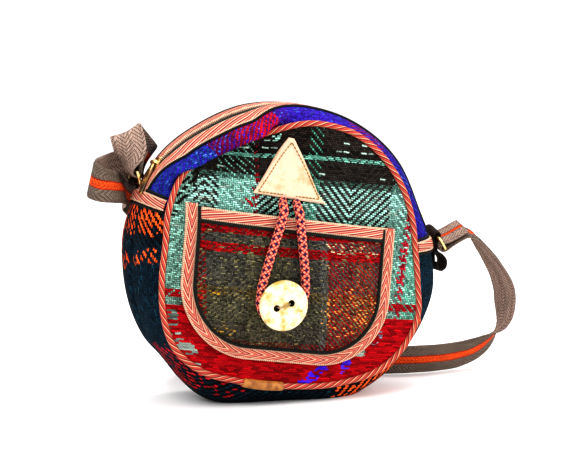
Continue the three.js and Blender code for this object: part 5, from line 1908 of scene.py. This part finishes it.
# Middle line of the strap from the left ring to the right one, with the direction of its width.
STRAP = np.array(
    [
        (-102.6, 14.2, 180, 0.72, -0.7, 0), (-102.3, 13, 176, 0.42, -0.91, 0),
        (-101.8, 12.5, 172.8, 0.12, -0.99, 0), (-101.2, 12.5, 168.8, 0, -1, 0),
        (-102, 12.5, 166.3, 0, -1, 0), (-104.2, 12.5, 165.3, 0, -1, 0),
        (-106.4, 12.5, 166.3, 0, -1, 0), (-107.2, 12.5, 168.8, 0, -1, 0),
        (-106.6, 12.5, 172.8, 0.12, -0.99, 0), (-106, 12.5, 176, 0.42, -0.91, 0),
        (-105.7, 12.5, 180, 0.72, -0.7, 0), (-105.4, 13.4, 184.6, 0.9, -0.43, 0),
        (-106.2, 14.6, 189.6, 0.97, -0.2, 0.1), (-107, 15.6, 193.6, 0.94, 0, 0.33),
        (-106.6, 18.4, 195.4, 0.9, 0, 0.43), (-104.9, 21, 193.8, 0.85, 0, 0.52),
        (-97.4, 22.4, 184.8, 0.76, 0, 0.65), (-91, 24.4, 177.6, 0.73, 0.1, 0.67),
        (-88.6, 29, 174.6, 0.6, 0.1, 0.78), (-91.2, 34, 173, 0.3, 0.1, 0.92),
        (-99, 36, 171.4, 0.08, 0.06, 1), (-112, 32.4, 169, 0.1, 0, 1),
        (-125, 21.6, 167, 0.16, 0, 1), (-135, 7.4, 165, 0.24, 0, 1), (-136.4, -3, 163, 0.24, 0, 1),
        (-132.6, -8.6, 161.4, 0.14, 0.1, 1), (-126, -6.6, 160.2, 0.04, 0.3, 0.95),
        (-118.2, 2, 158.4, 0, 0.5, 0.86), (-112, 13, 156.4, 0, 0.66, 0.75),
        (-107.4, 26, 153.4, 0, 0.66, 0.75), (-102, 40.6, 148.6, 0.25, 0.3, 0.92),
        (-91.6, 50.6, 140.4, 0.4, 0.2, 0.9), (-80, 57.6, 121, 0.8, -0.1, 0.6),
        (-67, 64, 91, 0.93, -0.1, 0.35), (-54, 74, 59, 0.93, -0.1, 0.35),
        (-41, 93, 32, 0.7, -0.2, 0.7), (-29, 121, 17, 0.3, -0.05, 0.95), (-13, 165, 12.9, 0, 0, 1),
        (9, 210, 12.4, 0, 0, 1), (47, 238, 12.4, 0, 0, 1), (87, 226, 12.4, 0, 0, 1),
        (101, 186, 12.4, 0, 0, 1), (86, 142, 12.4, 0, 0, 1), (64, 106, 12.4, 0, 0, 1),
        (60, 76, 12.4, 0, 0, 1), (79, 53, 12.4, 0, -0.1, 1), (114, 36, 12.2, 0, -0.33, 0.94),
        (145, 33.4, 12.2, 0, -0.36, 0.93), (166, 37, 12.8, 0, -0.36, 0.93),
        (181, 38.6, 16, -0.1, -0.48, 0.87), (191.6, 36.6, 23.4, -0.2, -0.68, 0.7),
        (197.8, 33, 33, -0.15, -0.88, 0.4), (199.8, 28.4, 43, 0.05, -0.98, 0.15),
        (198.8, 23, 54, 0.2, -0.97, 0.02), (194.6, 16.6, 68.6, 0.28, -0.96, 0),
        (186, 11, 82.4, 0.2, -0.97, 0), (173.6, 5.6, 97.6, 0.1, -0.98, -0.05),
        (162.8, 1.6, 109.4, 0, -0.97, -0.2), (156, -1.2, 114.2, 0, -0.968, -0.252),
        (149.6, -1.9, 115.4, 0, -0.968, -0.252), (144.6, -1.4, 113.5, 0, -0.968, -0.252),
        (138.3, -0.5, 109.9, 0, -0.968, -0.252), (131.8, 0.6, 105.5, 0, -0.968, -0.252),
        (129.2, 0.6, 105.6, 0, -0.968, -0.252), (127.9, 0, 107.9, 0, -0.968, -0.252),
        (129.1, -0.6, 110.4, 0, -0.968, -0.252), (136.6, -1.3, 113.1, 0, -0.968, -0.252),
        (143.3, -2.2, 116.6, 0, -0.968, -0.252), (149.4, -3.1, 119.8, 0, -0.968, -0.252),
    ]
)
# Middle lines of the ring tabs: right one as X and Z, left one as place along the gusset and lift.
RIGHT_TAB = np.array(
    [
        (124.2, 94.5), (123.9, 100), (124.1, 106), (123.7, 111), (122.7, 115), (123, 117.6),
        (125, 118.9), (127.2, 118.1), (127.9, 116), (127, 113.6), (125.8, 111), (125.6, 107),
        (126.6, 102.4), (131.2, 99), (134, 94.8), (133.2, 89.6), (129.6, 87.6), (127, 90.4),
        (126.4, 94),
    ]
)
LEFT_TAB = np.array(
    [(2.4, 1.9), (0.2, 1.9), (-1.7, 2.6), (-2.4, 4.2), (-1.7, 5.9), (0, 6.6), (1.9, 6.2), (2.8, 5.2)]
)
# Rows of STRAP over which its loose right curve and its free length start and end, and those of
# the stitches across its ends.
CURVE_START, CURVE_END = (50, 54), (58, 61)
FREE_START, FREE_END = (12, 15), (57, 60)
SEWN_ROWS = (2.0, 68.4)
RIGHT_DIP = 0.26  # fall of the right ring's bars toward the front
RIGHT_TAB_TURN = (104.0, 112.0)  # heights between which the right tab turns to lie along the bars
LEFT_RING_DEG, LEFT_RING_Y, LEFT_RING_LIFT = 152.9, 12.5, 4.2
LEFT_RING_SHARE = (LEFT_RING_Y + HALF_DEPTH) / (2 * HALF_DEPTH)
LEFT_UPPER_BAR = np.array([-104.2, LEFT_RING_Y, 168.4])
RIGHT_LOWER_BAR = np.array([130.6, 0.0, 108.0])
RIGHT_UPPER_BAR = np.array([125.2, 0.0, 116.2])


@dataclass
class Carrying:
    """Rings, their tabs and the long strap."""

    bench: Bench
    width: float = 24.0
    thick: float = 2.2
    places: int = 21
    wire: float = 1.2
    left_tab: tuple[float, float] = (14.0, 1.1)
    right_tab: tuple[float, float] = (17.0, 1.5)

    def build(self) -> None:
        """Build and dress the carrying parts."""
        bar = on_gusset(np.array(LEFT_RING_DEG), np.array(LEFT_RING_SHARE), LEFT_RING_LIFT)
        bar[1] = LEFT_RING_Y
        up = LEFT_UPPER_BAR - bar
        self.ring("ring_wire_left", bar + up / 2, np.array([0.0, -1.0, 0.0]), up, "ring_left")
        along = unit(np.array([0.0, -1.0, -RIGHT_DIP]))
        up_right = RIGHT_UPPER_BAR - RIGHT_LOWER_BAR
        up_right = up_right - along * (up_right @ along)
        self.ring("ring_wire_right", RIGHT_LOWER_BAR + up_right / 2, along, up_right, "ring_right")
        self.tabs(bar)
        self.strap()

    def ring(self, name: str, centre: Array, along: Array, up: Array, node: str) -> None:
        """Rounded rectangle of brass wire: straight sides joined by quarter turns.

        Args:
            name: the piece's name.
            centre: middle of the ring.
            along: direction of its long sides.
            up: from the lower long side to the upper.
            node: the CAD node that it replaces.
        """
        corner, length, height = 1.6, 28.6, float(np.linalg.norm(up))
        corners = []
        for sx, sy, start in ((1, 1, 0), (-1, 1, 90), (-1, -1, 180), (1, -1, 270)):
            a = np.radians(start + np.linspace(0, 90, 10))
            middle = [sx * (length / 2 - corner), sy * (height / 2 - corner)]
            corners.append(middle + corner * np.stack([np.cos(a), np.sin(a)], 1))
        flat = np.vstack(corners)
        n = unit(np.cross(along, up))
        path = centre + flat[:, :1] * along + flat[:, 1:] * unit(up)
        obj = tube(name, path, self.wire, n, 16, closed=True)
        self.bench.dress(obj, BRASS, Slot.BRASS, node)

    def band(
        self,
        name: str,
        path: Array,
        wide: Array,
        width: float,
        thick: float,
        fold: Array | None = None,
    ) -> bpy.types.Object:
        """Flat webbing along a path, a little thinner at its edges.

        Args:
            name: the piece's name.
            path: middle line in millimetres.
            wide: direction of the width at each point.
            width: full width.
            thick: thickness.
            fold: shift along the thickness, for each point and each place across.

        Returns:
            The new object.
        """
        _, across, n = frame_along(path, wide)
        c = np.linspace(-1, 1, self.places)
        half = thick / 2 * (1 - 0.45 * np.abs(c) ** 10)
        middle = path[:, None] + across[:, None] * (c * width / 2)[None, :, None]
        shift = np.zeros((len(path), self.places)) if fold is None else fold
        top, low = (middle + n[:, None] * (shift + s * half)[..., None] for s in (1, -1))
        along = lengths(path)
        uv = np.stack(np.meshgrid(along, c * width / 2, indexing="ij"), -1)
        return shell(name, top, low, uv, under=UNDER_SHIFT, sharp=60.0)

    def tabs(self, bar: Array) -> None:
        """Folded webbing that holds the rings.

        Args:
            bar: middle of the left ring's lower side.
        """
        ends = on_gusset(LEFT_RING_DEG + np.array([-0.5, 0.5]), np.full(2, LEFT_RING_SHARE), 0.0)
        tangent = unit(ends[1] - ends[0])
        out = unit(np.array([-tangent[2], 0.0, tangent[0]]))
        out = -out if out[0] > 0 else out
        foot = bar - out * LEFT_RING_LIFT
        table = foot + LEFT_TAB[:, :1] * tangent + LEFT_TAB[:, 1:] * out
        path = catmull(table, even(table, 0.5))
        wide = np.broadcast_to([0.0, -1.0, 0.0], path.shape)
        obj = self.band("tab_left", path, wide, *self.left_tab)
        self.bench.dress(obj, DARK_WEBBING, Slot.DARK, "ring_tab_left")
        rise = np.maximum(RIGHT_TAB[:, 1] - RIGHT_LOWER_BAR[2], 0)
        turn = smoothstep(RIGHT_TAB[:, 1], *RIGHT_TAB_TURN)
        table = np.stack([RIGHT_TAB[:, 0], -RIGHT_DIP * rise, RIGHT_TAB[:, 1]], 1)
        at = even(table, 0.6)
        path = catmull(table, at)
        tilt = np.interp(at, np.arange(len(turn)), turn)
        wide = np.stack([0 * tilt, -1 + 0 * tilt, -RIGHT_DIP * tilt], 1)
        obj = self.band("tab_right", path, wide, *self.right_tab)
        self.bench.dress(obj, DARK_WEBBING, Slot.DARK, "ring_tab_right")

    def strap(self) -> None:
        """Herringbone strap with a stripe on its upper face, sewn back on itself at both ends."""
        at = even(STRAP, 1.4)
        path = catmull(STRAP[:, :3], at)
        rows = np.arange(len(STRAP))
        wide = np.stack([np.interp(at, rows, STRAP[:, k]) for k in (3, 4, 5)], 1)
        kernel = np.hanning(9) / np.hanning(9).sum()
        padded = np.pad(wide, ((4, 4), (0, 0)), mode="edge")
        soft = np.stack([np.convolve(padded[:, k], kernel, "valid") for k in range(3)], 1)
        c = np.linspace(-1, 1, self.places)[None, :]
        along = lengths(path)[:, None]
        loose = (smoothstep(at, *CURVE_START) * (1 - smoothstep(at, *CURVE_END)))[:, None]
        fold = 1.5 * loose * np.sin(5.2 * c + along / 45) * (1 - c * c) + 0.12 * np.sin(along / 3.7 + 3 * c)
        free = (smoothstep(at, *FREE_START) * (1 - smoothstep(at, *FREE_END)))[:, None]
        obj = self.band("strap_webbing", path, unit(soft), self.width, self.thick, fold * free)
        self.bench.dress(obj, STRIPED_WEBBING, Slot.STRAP, "strap")
        self.stitches(path, unit(soft), at)

    def stitches(self, path: Array, wide: Array, at: Array) -> None:
        """Rows of stitches across both sewn-back ends and along the strap's two edges.

        Args:
            path: middle line of the strap.
            wide: direction of its width at each point.
            at: row of STRAP at each point.
        """
        t, across, n = frame_along(path, wide)
        places, ways, outs = [], [], []
        for row in SEWN_ROWS:
            k = int(np.argmin(np.abs(at - row)))
            c = np.linspace(-9.5, 9.5, 8)[:, None]
            for side in (1, -1):
                spots = path[k] + across[k] * c + n[k] * side * self.thick / 2
                places.append(spots)
                ways.append(np.broadcast_to(across[k], spots.shape))
                outs.append(np.broadcast_to(n[k] * side, spots.shape))
        picked = np.arange(4, len(path) - 4, 2)
        for c in (-10.2, 10.2):
            for side in (1, -1):
                sunk = side * (self.thick / 2 - 0.05)
                places.append(path[picked] + across[picked] * c + n[picked] * sunk)
                ways.append(t[picked])
                outs.append(n[picked] * side)
        size = (0.95, 0.3, 0.2)
        obj = beads("strap_stitches", np.vstack(places), np.vstack(ways), np.vstack(outs), size)
        self.bench.dress(obj, TAUPE_THREAD, Slot.THREAD)


@dataclass
class Studio:
    """Camera at the photograph's angle, pale floor, soft lamps and sky."""

    azimuth: float = -20.0
    elevation: float = 7.0
    distance: float = 1.35
    target: tuple[float, float, float] = (0.0075, 0.0, 0.124)
    lens: float = 116.4

    def build(self) -> None:
        """Build the camera, floor and lamps."""
        self.camera()
        self.floor()
        self.lamp("key", (-0.75, -1.05, 1.25), 0.7, 12.5)
        self.lamp("fill", (1.1, -0.9, 0.7), 0.9, 11.0)
        self.lamp("top", (0.1, 0.25, 1.5), 0.9, 8.0)
        world = bpy.data.worlds.new("sky")
        bpy.context.scene.world = world
        world.use_nodes = True
        sky = world.node_tree.nodes["Background"]
        sky.inputs["Color"].default_value = (1.0, 1.0, 1.0, 1.0)
        sky.inputs["Strength"].default_value = 0.85
        bpy.context.scene.view_settings.view_transform = "Standard"
        bpy.context.scene.view_settings.look = "High Contrast"

    def camera(self) -> None:
        """Camera that looks at the target from the azimuth and elevation."""
        az, el = np.radians(self.azimuth), np.radians(self.elevation)
        away = Vector((np.sin(az) * np.cos(el), -np.cos(az) * np.cos(el), np.sin(el)))
        data = bpy.data.cameras.new("camera")
        data.lens, data.sensor_width, data.sensor_fit = self.lens, 36.0, "HORIZONTAL"
        data.clip_start, data.clip_end = 0.05, 50.0
        camera = bpy.data.objects.new("camera", data)
        camera.location = Vector(self.target) + away * self.distance
        camera.rotation_euler = (-away).to_track_quat("-Z", "Y").to_euler()
        bpy.context.scene.collection.objects.link(camera)
        bpy.context.scene.camera = camera

    def floor(self) -> None:
        """Wide pale floor at the bag's foot."""
        size = 6000.0
        x, y = np.meshgrid([-size, size], [-size, size], indexing="ij")
        points = np.stack([x.ravel(), y.ravel(), np.full(4, -0.05)], 1)
        mesh = bpy.data.meshes.new("floor")
        mesh.from_pydata((points * MM).tolist(), [], [[0, 2, 3, 1]])
        floor = bpy.data.objects.new("floor", mesh)
        bpy.context.scene.collection.objects.link(floor)
        material, n = new_material("floor")
        soft = n.noise(n.inside(), 0.004, 2.0)
        tone = n.math("MULTIPLY_ADD", soft, 0.02, 0.9)
        n.surface(n.vector(tone, tone, tone), 0.8, soft, 0.01)
        mesh.materials.append(material)

    def lamp(self, name: str, place: tuple[float, float, float], size: float, power: float) -> None:
        """Soft square lamp that faces the bag.

        Args:
            name: the lamp's name.
            place: where it stands, in metres.
            size: side in metres.
            power: watts.
        """
        data = bpy.data.lights.new(name, "AREA")
        data.size, data.energy = size, power
        lamp = bpy.data.objects.new(name, data)
        lamp.location = place
        lamp.rotation_euler = (Vector(place) - Vector((0, 0, 0.1))).to_track_quat("Z", "Y").to_euler()
        bpy.context.scene.collection.objects.link(lamp)


def main() -> None:
    """Build the scene in order."""
    logging.basicConfig(level=logging.INFO, format="%(name)s: %(message)s")
    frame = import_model()
    bench = Bench(Effects(), {}, frame)
    Studio().build()
    Fastening(bench).build()
    Body(bench).build()
    Seams(bench).build()
    Zip(bench).build()
    Pocket(bench).build()
    Carrying(bench).build()


if __name__ == "__main__":
    main()
